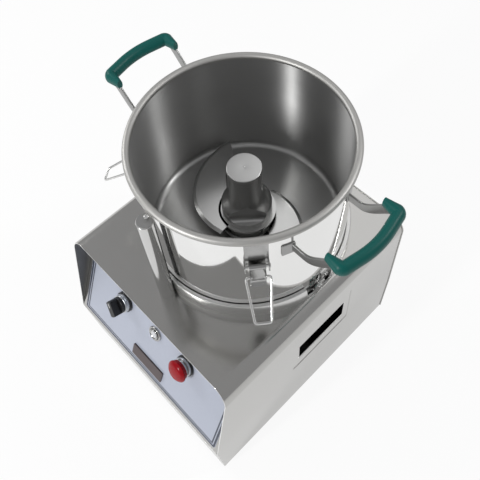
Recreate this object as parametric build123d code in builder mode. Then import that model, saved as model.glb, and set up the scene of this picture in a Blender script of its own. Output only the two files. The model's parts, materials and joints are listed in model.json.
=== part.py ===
from build123d import *
import os
from math import atan2, cos, degrees, radians, sin, sqrt, tan

# Table-top bowl cutter. Millimetres, +X to the right, +Y to the back, +Z up.
# Z = 0 is the bench under the feet, and the bowl, knives and motor share one upright axis at Y = bowl_y.

# ---------------------------------------------------------------- housing sizes
bowl_y = 16.6              # bowl axis behind the middle of the machine
sheet = 1.5                # housing sheet steel
body_width = 298.0
body_base = 12.0           # underside of the housing, feet height
body_top = 270.0
rear_depth = 139.0         # back edge of the wrapper, behind the bowl axis
front_ledge = 29.0         # the top runs this far in front of the column
panel_overhang = 31.0      # from the top's front edge forward to the knee
knee_z = 106.0
corner_radius = 21.0
front_taper = 6.0          # the front apron leans back by this much below the knee
side_taper = 2.0           # and each side leans in by this much
seam = 0.3                 # clearance between separate sheets
foot_radius = 14.0
foot_inset = 32.0
foot_bolt_radius = 2.5

flange_width = 16.0        # turned-in flanges that hold the rear cover
screw_radius = 2.0
cover_screw_heights = (52.0, 140.0, 228.0)
cover_screw_inset = 10.0

gland_x = 70.0
gland_z = 70.0
gland_thread = 8.0
louvre_count = 5
louvre_z = 170.0
louvre_pitch = 16.0
louvre_length = 110.0
louvre_slot = 7.0

# ---------------------------------------------------------------- side vent sizes
vent_depth = 14.0          # middle of the slot, before the bowl axis
vent_z = 180.5
vent_length = 86.0
vent_height = 40.0
vent_border_x = 10.5       # pressed border beyond the slot, along the wall
vent_border_z = 21.5
press_depth = 0.7
hood_depth = 26.0
hood_sheet = 1.0

# ---------------------------------------------------------------- panel and control sizes
panel_setback = 38.0       # the panel's upper edge lies this far behind the top's front edge
label_thickness = 0.4
label_margin = 6.0
control_row = 94.5
selector_x = -64.0
start_x = 0.0
stop_x = 60.0
control_barrel = 10.8      # threaded barrel of each control
barrel_length = 24.0
ring_radius = 14.5
ring_height = 4.0
bezel_radius = 13.0
bezel_height = 6.0
knob_radius = 11.5
knob_grip_width = 10.5
knob_turn = 45.0           # the grip's turn at rest, degrees
knob_height = 16.0
button_radius = 7.6
button_bezel_radius = 11.0
button_height = 3.0
button_travel = 2.0
stop_travel = 4.0
stop_ring_height = 3.0
stop_bezel_height = 3.0
stop_cap_radius = 15.2
stop_cap_height = 10.4
skirt_radius = 13.8        # the cap's skirt, behind its flare
skirt_height = 3.2
stop_stem_radius = 10.4
contact_block = 30.0
plate_length = 61.0
plate_height = 19.5
plate_row = 29.0
plate_x = -0.6
plate_thickness = 2.4

# ---------------------------------------------------------------- bowl sizes
bowl_radius = 127.0        # outside of the wall
bowl_wall = 1.5
rim_lip = 7.0              # the rolled rim stands this far outside the wall
bowl_rim_z = 452.0
bead_radius = 4.4
bead_wall = 1.3
bowl_corner = 9.0          # inside radius between wall and floor
floor_rise = 5.0           # the floor rises this much towards the centre tube
tube_bore = 16.0
tube_wall = 2.0
tube_top = 372.0
lift_gap = 0.3             # bowl floor above the seat

# ---------------------------------------------------------------- bowl seat sizes
seat_plate = 4.0
seat_gap = 3.3             # between the bowl wall and the collar
seat_wall = 2.2
seat_height = 24.0
seat_bore = 40.0
weld_gap = 0.05            # the collar's halves stand on the plate
notch_angle = -3.0
notch_width = 40.0
catch_width = 16.0
catch_rise = 14.0
catch_foot = 5.0
catch_screw_z = 9.0
lug_turn = 6.0             # lugs stand this far round from the catches, degrees
lug_radius = 3.0
lug_z = 291.0
lug_length = 4.0

# ---------------------------------------------------------------- handle sizes
handle_half = 44.0         # half the distance between the legs at the bowl
strap_thickness = 3.0
strap_height = 12.0
strap_root_z = 412.0
strap_reach = 9.0          # the strap runs level this far out of the wall
grip_z = 449.0
grip_reach = 57.0          # grip axis at its ends, beyond the wall
grip_bow = 9.0             # and this much further out in the middle
grip_corner = 9.0
grip_width = 15.0
grip_height = 18.0
grip_leg = 20.0            # how far the grip runs down each leg
tab_length = 16.0
tab_height = 20.0
tab_thickness = 1.5

# ---------------------------------------------------------------- latch sizes
latch_angles = {"right": -38.0, "left": -142.0, "rear": 90.0}
latch_width = 26.0
latch_plate_top = 440.0
latch_plate_bottom = 392.0
latch_sheet = 1.4
ear_depth = 11.0
lever_pivot_z = 400.0
lever_pivot_out = 6.5      # pivot axis beyond the latch plate's back
lever_length = 40.0
lever_width = 18.0
pin_radius = 1.75
bail_pivot_drop = 17.0     # bail axis below the lever's pivot
bail_pivot_out = 10.0
wire_radius = 1.4
bail_length = 50.0
bail_half_root = 14.0
bail_half_tip = 9.0
bail_lean = 52.0           # how far the hanging bail stands out from the vertical, degrees

# ---------------------------------------------------------------- knife sizes
knife_base_z = 283.5
knife_base_radius = 37.0
knife_base_height = 4.0
blade_thickness = 3.0
blade_spacing = 11.0
blade_ring_radius = 31.0
blade_root = 50.0          # radius of the cutting edge where it leaves the hub
blade_clearance = 13.5     # between the blade tips and the inside of the wall
blade_sweep = 125.0        # turn of the cutting edge from root to tip, degrees
blade_start = -87.0
bevel_width = 4.0
bevel_depth = 1.9
hub_radius = 32.0
hub_neck_radius = 21.0
hub_bore = 19.2
hub_shoulder = 24.0
hub_top = 389.0
scoop_angle = -42.0        # bearing of the front scoop, which leaves the two ears
spacer_slot_angle = -9.0   # a puller's slot down the spacer
spacer_slot_depth = 3.0
spacer_slot_width = 1.6
scoop_rise = 8.0           # its floor above the hub's base
scoop_step = 0.5           # it stays this far out of the neck
cap_radius = 21.6
cap_height = 5.0
socket_depth = 14.0

# ---------------------------------------------------------------- drive sizes
shaft_radius = 12.5
shaft_clearance = 3.0      # between the shaft's end and the hub's cap
shaft_flat = 9.5           # distance from the axis to the driving flat
shaft_bottom = 56.0
motor_radius = 74.0
motor_wall = 5.0
motor_top = 240.0
motor_bottom = 96.0
stator_bore = 43.0
rotor_gap = 0.6
flange_radius = 88.0
bolt_circle = 162.0
bolt_radius = 3.0
bearing_height = 15.0
bearing_radius = 26.0
bearing_gap = 0.03         # radial running clearance
fan_radius = 56.0
fan_blades = 7

# ---------------------------------------------------------------- column sizes
column_gap = 6.5           # between the bowl wall and the column's flat
column_radius = 9.5
column_flat = 8.0          # flat side towards the bowl, from the column axis
column_wall = 1.2
column_top = 440.0
column_rod_y = 3.5         # switch rod behind the column axis
plunger_radius = 2.6
plunger_travel = 4.0

# ---------------------------------------------------------------- worked out from the sizes
bowl_axis = (0, bowl_y)
bowl_inner = bowl_radius - bowl_wall
bowl_rim_radius = bowl_radius + rim_lip
seat_radius = bowl_radius + seat_gap + seat_wall
strap_bend_x = bowl_radius + strap_reach
grip_x = bowl_radius + grip_reach
blade_tip = bowl_inner - blade_clearance
column_y = -(bowl_radius + column_gap + column_flat)
top_depth = column_radius + front_ledge - column_y
knee_depth = top_depth + panel_overhang
panel_depth = top_depth - panel_setback
shaft_top = hub_top - shaft_clearance
half_width = body_width / 2
body_rear = bowl_y + rear_depth
body_front = bowl_y - top_depth
knee_y = bowl_y - knee_depth
panel_top_y = bowl_y - panel_depth
vent_y = bowl_y - vent_depth
panel_tilt = atan2(panel_top_y - knee_y, body_top - knee_z)
panel_plane = Plane(
    origin=(0, knee_y, knee_z),
    x_dir=(1, 0, 0),
    z_dir=(0, -cos(panel_tilt), sin(panel_tilt)),
)
panel_length = (body_top - sheet - seam - knee_z) / cos(panel_tilt)
control_x = (selector_x, start_x, stop_x)
bowl_base = body_top + seat_plate + lift_gap
floor_z = bowl_base + bowl_wall
tube_radius = tube_bore + tube_wall
lower_blade_z = knife_base_z + knife_base_height
upper_blade_z = lower_blade_z + blade_thickness + blade_spacing
hub_base = upper_blade_z + blade_thickness
rear_plane = Plane.XZ.offset(-body_rear)
body_length = body_rear - knee_y


cover_screw_x = half_width - sheet - cover_screw_inset
cover_screws = [(x, z) for x in (-cover_screw_x, cover_screw_x) for z in cover_screw_heights]


def save(piece, name):
    """Label a finished sub-part and write it as its own STEP file."""
    piece.part.label = name
    export_step(piece.part, f"parts/{name}.step")


def shell_face(grow):
    """Front view of the housing: straight sides, a slight taper below the knee, rounded top corners."""
    half = half_width + grow
    low = body_base - 4 * sheet
    outline = Polygon(
        (-half + side_taper, low),
        (-half, knee_z),
        (-half, body_top + grow),
        (half, body_top + grow),
        (half, knee_z),
        (half - side_taper, low),
        align=None,
    )
    fillet(outline.vertices().group_by(Axis.Y)[-1], corner_radius + grow)


def ring(outer, inner, z, height, center=bowl_axis):
    """A flat ring or, with no inner radius, a disc, added to the part being built."""
    with BuildSketch(Plane.XY.offset(z)) as face:
        with Locations(center):
            Circle(outer)
            if inner:
                Circle(inner, mode=Mode.SUBTRACT)
    extrude(face.sketch, amount=height)


# ================================================================ housing
with BuildPart() as housing_wrapper:
    with BuildSketch(rear_plane):
        shell_face(0)
    extrude(amount=body_length)
    with BuildSketch(rear_plane):
        shell_face(-sheet)
    extrude(amount=body_length, mode=Mode.SUBTRACT)
    with BuildSketch(Plane.YZ):
        Polygon(
            (body_rear, body_base),
            (body_rear, body_top),
            (body_front, body_top),
            (knee_y, knee_z),
            (knee_y + front_taper, body_base),
            align=None,
        )
    extrude(amount=body_width, both=True, mode=Mode.INTERSECT)
    for side in (-1, 1):
        for depth, mode in ((0, Mode.SUBTRACT), (sheet, Mode.ADD)):
            with BuildSketch(Plane.YZ.offset(side * (half_width - depth))):
                with Locations((vent_y, vent_z)):
                    Rectangle(vent_length + 2 * vent_border_x, vent_height + 2 * vent_border_z)
            extrude(amount=-side * press_depth, mode=mode)
    with BuildSketch(Plane.YZ):
        with Locations((vent_y, vent_z)):
            RectangleRounded(vent_length, vent_height, 2)
    extrude(amount=body_width, both=True, mode=Mode.SUBTRACT)
    with BuildSketch(Plane.XY.offset(body_top)):
        with Locations(bowl_axis):
            Circle(seat_bore)
        with Locations(bowl_axis):
            with PolarLocations(bolt_circle / 2, 4, start_angle=45):
                Circle(bolt_radius + 0.05)
        with Locations((0, bowl_y + column_y + column_rod_y)):
            Circle(plunger_radius + 0.4)
    extrude(amount=-2 * sheet, mode=Mode.SUBTRACT)
    for side in (-1, 1):
        for z in cover_screw_heights:
            inset = sheet + side_taper * max(0, knee_z - z + flange_width / 2) / (knee_z - body_base)
            with Locations((side * (half_width - inset + 1 - (flange_width + 1) / 2), body_rear - sheet / 2, z)):
                Box(flange_width + 1, sheet, flange_width)
            with Locations((side * (half_width - sheet - 0.5), body_rear - flange_width / 2, z)):
                Box(1, flange_width, flange_width)
    with BuildSketch(rear_plane):
        shell_face(0)
        with Locations(*cover_screws):
            Circle(screw_radius + 0.05, mode=Mode.SUBTRACT)
    extrude(amount=body_length, mode=Mode.INTERSECT)
save(housing_wrapper, "housing_wrapper")

inner_half = half_width - sheet - seam
pan_half = inner_half - side_taper
pan_front = knee_y + front_taper + sheet + seam
pan_rear = body_rear - seam
pan_lip = 22.0
with BuildPart() as base_pan:
    with BuildSketch(Plane.XY.offset(body_base)):
        with Locations((0, (pan_front + pan_rear) / 2)):
            Rectangle(2 * pan_half, pan_rear - pan_front)
    extrude(amount=pan_lip)
    with BuildSketch(Plane.XY.offset(body_base + sheet)):
        with Locations((0, (pan_front + pan_rear) / 2)):
            Rectangle(2 * (pan_half - sheet), pan_rear - pan_front - 2 * sheet)
    extrude(amount=pan_lip, mode=Mode.SUBTRACT)
    foot_x = pan_half - foot_inset
    foot_spots = [
        (x, y)
        for x in (-foot_x, foot_x)
        for y in (pan_front + foot_inset, pan_rear - foot_inset)
    ]
    with BuildSketch(Plane.XY.offset(body_base)):
        with Locations(*foot_spots):
            Circle(foot_bolt_radius + 0.05)
        with Locations(bowl_axis):
            with GridLocations(0, 16, 1, 6):
                SlotOverall(90, 6)
    extrude(amount=sheet, mode=Mode.SUBTRACT)
save(base_pan, "base_pan")

rail_ledge = 10.0
with BuildPart() as front_apron:
    with BuildSketch(Plane.YZ.offset(-inner_half + side_taper)):
        lean = front_taper * sheet / (knee_z - body_base)
        Polygon(
            (knee_y, knee_z - sheet),
            (knee_y + front_taper - lean, body_base),
            (knee_y + front_taper + sheet, body_base),
            (knee_y + sheet, knee_z - 2 * sheet),
            (knee_y + rail_ledge, knee_z - 2 * sheet),
            (knee_y + rail_ledge, knee_z - sheet),
            align=None,
        )
    extrude(amount=2 * (inner_half - side_taper))
save(front_apron, "front_apron")

with BuildPart() as rubber_feet:
    with BuildSketch():
        with Locations(*foot_spots):
            Circle(foot_radius)
    extrude(amount=body_base, taper=4)
    with BuildSketch(Plane.XY.offset(3)):
        with Locations(*foot_spots):
            Circle(foot_bolt_radius + 3)
    extrude(amount=body_base, mode=Mode.SUBTRACT)
    with BuildSketch(Plane.XY.offset(6)):
        with Locations(*foot_spots):
            Circle(foot_bolt_radius + 4)
            Circle(foot_bolt_radius + 0.05, mode=Mode.SUBTRACT)
    extrude(amount=body_base - 6)
save(rubber_feet, "rubber_feet")

with BuildPart() as foot_bolts:
    with BuildSketch(Plane.XY.offset(3.3)):
        with Locations(*foot_spots):
            RegularPolygon(foot_bolt_radius + 2, 6)
    extrude(amount=2.5)
    with BuildSketch(Plane.XY.offset(3.3)):
        with Locations(*foot_spots):
            Circle(foot_bolt_radius)
    extrude(amount=body_base + sheet + 4 - 3.3)
    with BuildSketch(Plane.XY.offset(body_base + sheet)):
        with Locations(*foot_spots):
            RegularPolygon(foot_bolt_radius + 2, 6)
    extrude(amount=3)
save(foot_bolts, "foot_bolts")

# Rear cover: proud of the wrapper by one sheet, with louvres low down and a cable gland hole.
cover_back = body_rear + sheet
with BuildPart() as rear_cover:
    with BuildSketch(Plane.XZ.offset(-cover_back)):
        shell_face(1.0)
    extrude(amount=sheet)
    with BuildSketch(Plane.XY.offset(body_base)):
        Rectangle(2 * body_width, 4 * body_length)
    extrude(amount=-30, mode=Mode.SUBTRACT)
    with BuildSketch(Plane.XZ.offset(-cover_back)):
        with Locations((0, louvre_z)):
            with GridLocations(0, louvre_pitch, 1, louvre_count):
                SlotOverall(louvre_length, louvre_slot)
        with Locations((gland_x, gland_z)):
            Circle(gland_thread + 0.05)
        with Locations(*cover_screws):
            Circle(screw_radius + 0.05)
    extrude(amount=sheet, mode=Mode.SUBTRACT)
    with BuildSketch(Plane.YZ.offset(-louvre_length / 2 - 3)):
        for row in range(louvre_count):
            top = louvre_z + louvre_pitch * (row - (louvre_count - 1) / 2) + louvre_slot / 2 + 0.6
            Polygon(
                (cover_back - 0.5, top + sheet),
                (cover_back + 5, top + sheet - 5),
                (cover_back + 5, top - 5),
                (cover_back - 0.5, top),
                align=None,
            )
    extrude(amount=louvre_length + 6)
save(rear_cover, "rear_cover")

with BuildPart() as cover_screw_set:
    with BuildSketch(Plane.XZ.offset(-cover_back)):
        with Locations(*cover_screws):
            Circle(3.8)
    extrude(amount=-2.2)
    fillet(cover_screw_set.edges().group_by(Axis.Y)[-1], 1.4)
    with BuildSketch(Plane.XZ.offset(-cover_back)):
        with Locations(*cover_screws):
            Circle(screw_radius)
    extrude(amount=9)
save(cover_screw_set, "cover_screws")

with BuildPart() as cable_gland:
    with BuildSketch(Plane.XZ.offset(-cover_back)):
        with Locations((gland_x, gland_z)):
            RegularPolygon(gland_thread + 4, 6)
    extrude(amount=-6)
    with BuildSketch(Plane.XZ.offset(-cover_back - 6)):
        with Locations((gland_x, gland_z)):
            Circle(gland_thread + 2)
    extrude(amount=-9, taper=12)
    with BuildSketch(Plane.XZ.offset(-cover_back)):
        with Locations((gland_x, gland_z)):
            Circle(gland_thread)
    extrude(amount=12)
    with BuildSketch(Plane.XZ.offset(-body_rear)):
        with Locations((gland_x, gland_z)):
            RegularPolygon(gland_thread + 4, 6)
            Circle(gland_thread, mode=Mode.SUBTRACT)
    extrude(amount=4)
    with BuildSketch(Plane.XZ.offset(-cover_back - 20)):
        with Locations((gland_x, gland_z)):
            Circle(4.5)
    extrude(amount=40, mode=Mode.SUBTRACT)
save(cable_gland, "cable_gland")

# Hoods behind the side slots keep fingers and drips away from the motor.
with BuildPart() as vent_hoods:
    wall = half_width - sheet - press_depth
    for side in (-1, 1):
        with BuildSketch(Plane.XZ.offset(-vent_y - vent_length / 2 - 4)):
            Polygon(
                (side * wall, vent_z - vent_height / 2 - 12),
                (side * wall, vent_z + vent_height / 2 + 10),
                (side * (wall - 8), vent_z + vent_height / 2 + 10),
                (side * (wall - hood_depth), vent_z + vent_height / 2),
                (side * (wall - hood_depth), vent_z - vent_height / 2 - 12),
                align=None,
            )
        extrude(amount=vent_length + 8)
        with BuildSketch(Plane.XZ.offset(-vent_y - vent_length / 2 - 4 + hood_sheet)):
            Polygon(
                (side * (wall + 1), vent_z - vent_height / 2 - 13),
                (side * (wall + 1), vent_z + vent_height / 2 + 10 - hood_sheet),
                (side * (wall - 8), vent_z + vent_height / 2 + 10 - hood_sheet),
                (side * (wall - hood_depth + hood_sheet), vent_z + vent_height / 2 - hood_sheet),
                (side * (wall - hood_depth + hood_sheet), vent_z - vent_height / 2 - 13),
                align=None,
            )
        extrude(amount=vent_length + 8 - 2 * hood_sheet, mode=Mode.SUBTRACT)
save(vent_hoods, "vent_hoods")

# ================================================================ control panel
with BuildPart() as control_panel:
    with BuildSketch(panel_plane):
        with Locations((0, panel_length / 2)):
            Rectangle(2 * inner_half, panel_length)
        with Locations(*[(x, control_row) for x in control_x]):
            Circle(control_barrel + 0.1, mode=Mode.SUBTRACT)
    extrude(amount=-sheet)
    with BuildSketch(rear_plane):
        shell_face(-sheet - seam)
    extrude(amount=body_length, mode=Mode.INTERSECT)
save(control_panel, "control_panel")

with BuildPart() as panel_label:
    with BuildSketch(panel_plane):
        with Locations((0, panel_length / 2)):
            RectangleRounded(2 * inner_half - 2 * label_margin, panel_length - 2 * label_margin, 3)
        with Locations(*[(x, control_row) for x in control_x]):
            Circle(control_barrel + 0.1, mode=Mode.SUBTRACT)
    extrude(amount=label_thickness)
save(panel_label, "panel_label")

label_face = panel_plane.offset(label_thickness)
with BuildPart() as name_plate:
    with BuildSketch(label_face):
        with Locations((plate_x, plate_row)):
            RectangleRounded(plate_length, plate_height, 1)
    extrude(amount=plate_thickness)
save(name_plate, "name_plate")


# Behind the panel each control has a threaded barrel, a lock nut and a contact block.
control_spots = [(x, control_row) for x in control_x]
with BuildPart() as switch_blocks:
    with BuildSketch(label_face):
        with Locations(*control_spots):
            Circle(control_barrel)
    extrude(amount=-barrel_length)
    with BuildSketch(panel_plane.offset(-sheet)):
        with Locations(*control_spots):
            RegularPolygon(control_barrel + 4, 6)
    extrude(amount=-4)
    with BuildSketch(label_face.offset(-barrel_length)):
        with Locations(*control_spots):
            Rectangle(contact_block, contact_block)
    extrude(amount=-contact_block)
save(switch_blocks, "switch_blocks")


def control_rings(outer, heights, lows, soften, name):
    """The selector's and the emergency stop's rings, with their front edges softened."""
    with BuildPart() as rings:
        for x, low, height, hole in zip((selector_x, stop_x), lows, heights, (0, stop_stem_radius + 0.5)):
            with BuildSketch(label_face.offset(low)):
                with Locations((x, control_row)):
                    Circle(outer)
                    if hole:
                        Circle(hole, mode=Mode.SUBTRACT)
            extrude(amount=height)
            front = label_face.offset(low + height)
            for edge in rings.edges().filter_by(GeomType.CIRCLE).filter_by(lambda e: abs(e.radius - outer) < 0.01):
                if abs(front.to_local_coords(edge.center()).Z) < 0.01:
                    fillet(edge, soften)
    save(rings, name)


control_rings(ring_radius, (ring_height, stop_ring_height), (0, 0), 0.8, "control_rings")
control_rings(
    bezel_radius, (bezel_height, stop_bezel_height), (ring_height, stop_ring_height), 1.0, "control_bezels"
)

# Rotary selector: a block-grip knob on its bezel.
knob_z = ring_height + bezel_height + 0.2
with BuildPart() as selector_knob:
    with BuildSketch(label_face.offset(knob_z)):
        with Locations((selector_x, control_row)):
            Circle(knob_radius)
    extrude(amount=4)
    with BuildSketch(label_face.offset(knob_z + 4)):
        with Locations((selector_x, control_row)):
            Rectangle(knob_grip_width, 2 * knob_radius, rotation=knob_turn)
            Circle(knob_radius, mode=Mode.INTERSECT)
    extrude(amount=knob_height - 4)
    tip = selector_knob.faces().sort_by(Axis(panel_plane.origin, panel_plane.z_dir))[-1]
    fillet(tip.edges(), 1.0)
    with BuildSketch(label_face.offset(knob_z + knob_height)):
        with Locations((selector_x, control_row)):
            with PolarLocations(knob_radius * 0.45, 1, start_angle=90 + knob_turn):
                Rectangle(knob_radius * 0.7, 1.2)
    extrude(amount=-0.6, mode=Mode.SUBTRACT)
save(selector_knob, "selector_knob")

# Start push button in a bright bezel.
with BuildPart() as start_bezel:
    with BuildSketch(label_face):
        with Locations((start_x, control_row)):
            Circle(button_bezel_radius)
            Circle(button_radius + 0.3, mode=Mode.SUBTRACT)
    extrude(amount=button_height)
    rim = start_bezel.faces().sort_by(Axis(panel_plane.origin, panel_plane.z_dir))[-1]
    fillet(rim.edges(), 0.9)
save(start_bezel, "start_bezel")
with BuildPart() as start_button:
    with BuildSketch(label_face.offset(button_travel + 0.2)):
        with Locations((start_x, control_row)):
            Circle(button_radius)
    extrude(amount=button_height + 0.6 - button_travel - 0.2 + 1.0)
    crown = start_button.faces().sort_by(Axis(panel_plane.origin, panel_plane.z_dir))[-1]
    fillet(crown.edges(), 1.0)
save(start_button, "start_button")

# Emergency stop: a sliding stem and a red mushroom cap.
stop_cap_z = stop_ring_height + stop_bezel_height + stop_travel + 0.4
socket_z = stop_cap_z + 2
with BuildPart() as stop_stem:
    with BuildSketch(label_face.offset(stop_travel + 0.4)):
        with Locations((stop_x, control_row)):
            Circle(stop_stem_radius)
    extrude(amount=socket_z - stop_travel - 0.4)
save(stop_stem, "stop_stem")
stop_axis_origin = panel_plane.from_local_coords((stop_x, control_row, label_thickness))
stop_profile = Plane(origin=stop_axis_origin, x_dir=(1, 0, 0), z_dir=(0, -sin(panel_tilt), -cos(panel_tilt)))
with BuildPart() as stop_cap:
    with BuildSketch(stop_profile):
        with BuildLine():
            top = stop_cap_z + stop_cap_height
            neck = Line((0, socket_z + 0.02), (stop_stem_radius + 0.05, socket_z + 0.02))
            drop = Line(neck @ 1, (stop_stem_radius + 0.05, stop_cap_z))
            base = Line(drop @ 1, (skirt_radius, stop_cap_z))
            skirt = Line(base @ 1, (skirt_radius, stop_cap_z + skirt_height))
            flare = Line(skirt @ 1, (stop_cap_radius, stop_cap_z + skirt_height + 0.8))
            edge = Line(flare @ 1, (stop_cap_radius, stop_cap_z + skirt_height + 2.6))
            crown = TangentArc((0, top), edge @ 1, tangent=(1, 0))
            Line(crown @ 0, neck @ 0)
        make_face()
    revolve(axis=Axis(stop_axis_origin, panel_plane.z_dir))
save(stop_cap, "stop_cap")

# ================================================================ bowl seat
seat_top = body_top + seat_height
with BuildPart() as bowl_seat:
    collar_base = body_top + seat_plate + weld_gap
    ring(seat_radius, seat_radius - seat_wall, collar_base, seat_top - collar_base)
    fillet(bowl_seat.edges().filter_by(GeomType.CIRCLE).group_by(Axis.Z)[-1], 0.7)
    with BuildSketch(Plane.XY.offset(collar_base)):
        with Locations(bowl_axis):
            with PolarLocations(seat_radius, 2, start_angle=notch_angle):
                Rectangle(4 * seat_wall, notch_width)
    extrude(amount=seat_height, mode=Mode.SUBTRACT)
    ring(seat_radius, seat_bore, body_top, seat_plate)
    with BuildSketch(Plane.XY.offset(body_top)):
        with Locations(bowl_axis):
            with PolarLocations(bolt_circle / 2, 4, start_angle=45):
                Circle(bolt_radius + 0.05)
    extrude(amount=seat_plate - 1, mode=Mode.SUBTRACT)
save(bowl_seat, "bowl_seat")


def radial_plane(angle, out, z):
    """Plane at a bearing round the bowl: local x runs round the bowl, local y up, normal outwards."""
    a = radians(angle)
    return Plane(
        origin=(out * cos(a), bowl_y + out * sin(a), z),
        x_dir=(-sin(a), cos(a), 0),
        z_dir=(cos(a), sin(a), 0),
    )


def hug_bowl():
    """Trim the part being built to the outside of the bowl wall."""
    with Locations((0, bowl_y, bowl_base + 100)):
        Cylinder(bowl_radius, 400, mode=Mode.SUBTRACT)


catch_angles = (notch_angle, notch_angle + 180)
seat_floor = body_top + seat_plate
catch_inner = seat_radius - sheet
with BuildPart() as seat_catches:
    for angle in catch_angles:
        with BuildSketch(radial_plane(angle, catch_inner, seat_floor)):
            with Locations((0, catch_rise / 2)):
                Rectangle(catch_width, catch_rise)
            with Locations((0, catch_screw_z)):
                Circle(screw_radius, mode=Mode.SUBTRACT)
        extrude(amount=sheet)
        with BuildSketch(radial_plane(angle, catch_inner, seat_floor)):
            with Locations((0, sheet / 2)):
                Rectangle(catch_width, sheet)
        extrude(amount=-catch_foot)
save(seat_catches, "seat_catches")
with BuildPart() as catch_screws:
    for angle in catch_angles:
        head = radial_plane(angle, seat_radius, seat_floor + catch_screw_z)
        with BuildSketch(head):
            Circle(screw_radius + 1.6)
        extrude(amount=2.2)
        with BuildSketch(head):
            Circle(screw_radius)
        extrude(amount=-(sheet + 1))
save(catch_screws, "catch_screws")

# ================================================================ bowl
bead_center = bowl_rim_radius - bead_radius
bead_z = bowl_rim_z - bead_radius
with BuildPart() as bowl_shell:
    with BuildSketch(Plane.XZ.offset(-bowl_y)):
        with BuildLine():
            bottom = Line((tube_bore, bowl_base + floor_rise), (bowl_inner - bowl_corner, bowl_base))
            outer_corner = JernArc(bottom @ 1, (1, 0), bowl_corner + bowl_wall, 90)
            wall = Line(outer_corner @ 1, (bowl_radius, bead_z))
            lip = Line(wall @ 1, (bowl_inner, bead_z))
            inside = Line(lip @ 1, (bowl_inner, floor_z + bowl_corner))
            inner_corner = JernArc(inside @ 1, (0, -1), bowl_corner, -90)
            dish = Line(inner_corner @ 1, (tube_radius, floor_z + floor_rise))
            tube_out = Line(dish @ 1, (tube_radius, tube_top))
            tube_lip = Line(tube_out @ 1, (tube_bore, tube_top))
            Line(tube_lip @ 1, bottom @ 0)
        make_face()
        with Locations((bead_center, bead_z)):
            Circle(bead_radius)
            Circle(bead_radius - bead_wall, mode=Mode.SUBTRACT)
        with Locations((bead_center - bead_radius * 0.15, bead_z - bead_radius)):
            Rectangle(2.0, 4.0, mode=Mode.SUBTRACT)
    revolve(axis=Axis((0, bowl_y, 0), (0, 0, 1)))
save(bowl_shell, "bowl_shell")

with BuildPart() as bowl_lugs:
    for angle in catch_angles:
        with BuildSketch(radial_plane(angle + lug_turn, bowl_radius - 1, lug_z)):
            Rectangle(14, 12)
        extrude(amount=1 + bowl_wall)
        with BuildSketch(radial_plane(angle + lug_turn, bowl_radius, lug_z)):
            Circle(lug_radius)
        extrude(amount=lug_length)
    hug_bowl()
save(bowl_lugs, "bowl_lugs")

# ================================================================ handles
wall_x = sqrt(bowl_radius**2 - handle_half**2)
bow_turn = 2 * atan2(grip_bow, handle_half)
bow_radius = 0.6 * handle_half / tan(bow_turn / 2)
for side, name in ((1, "right"), (-1, "left")):
    # Flat strap: two shaped legs welded to the wall with tabs, and a bar that the grip is moulded over.
    bar_middle = (side * (grip_x + grip_bow), bowl_y)
    bar_ends = [(side * grip_x, bowl_y + leg * handle_half) for leg in (-1, 1)]
    with BuildPart() as handle_strap:
        for leg in (-1, 1):
            with BuildSketch(Plane.XZ.offset(-(bowl_y + leg * handle_half + strap_thickness / 2))):
                with BuildLine():
                    root = Line((side * (wall_x - 3), strap_root_z), (side * strap_bend_x, strap_root_z))
                    Spline(
                        root @ 1,
                        (side * (grip_x - 16), grip_z - 3),
                        (side * (grip_x + 1), grip_z),
                        tangents=((side, 0), (side, 0)),
                        tangent_scalars=(1.2, 0.6),
                    )
                trace(line_width=strap_height)
            extrude(amount=strap_thickness)
            tab_angle = degrees(atan2(leg * (handle_half + tab_length / 3), side * wall_x))
            with BuildSketch(radial_plane(tab_angle, bowl_radius - 1, strap_root_z)):
                RectangleRounded(tab_length, tab_height, 2)
            extrude(amount=1 + tab_thickness)
        with BuildSketch(Plane.XY.offset(grip_z - strap_height / 2)):
            with BuildLine():
                FilletPolyline(bar_ends[0], bar_middle, bar_ends[1], radius=bow_radius)
            trace(line_width=strap_thickness)
        extrude(amount=strap_height)
        hug_bowl()
    save(handle_strap, f"handle_strap_{name}")

    # Moulded grip: a bowed bar whose ends turn back along the legs.
    with BuildPart() as handle_grip:
        leg_ends = [(side * (grip_x - grip_leg), bowl_y + leg * handle_half) for leg in (-1, 1)]
        with BuildLine(Plane.XY.offset(grip_z)) as grip_path:
            FilletPolyline(
                leg_ends[0],
                bar_ends[0],
                bar_middle,
                bar_ends[1],
                leg_ends[1],
                radius=[grip_corner, bow_radius, grip_corner],
            )
        with BuildSketch(Plane(origin=grip_path.line @ 0, z_dir=grip_path.line % 0, x_dir=(0, 0, 1))):
            Ellipse(grip_height / 2, grip_width / 2)
        sweep(path=grip_path.wires()[0])
        add(handle_strap.part, mode=Mode.SUBTRACT)
    save(handle_grip, f"handle_grip_{name}")

# ================================================================ latches
def section_plane(angle):
    """Upright plane through a latch: local x outwards from the bowl wall, local y is the height."""
    a = radians(angle)
    return Plane(
        origin=(bowl_radius * cos(a), bowl_y + bowl_radius * sin(a), 0),
        x_dir=(cos(a), sin(a), 0),
        z_dir=(sin(a), -cos(a), 0),
    )


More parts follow.
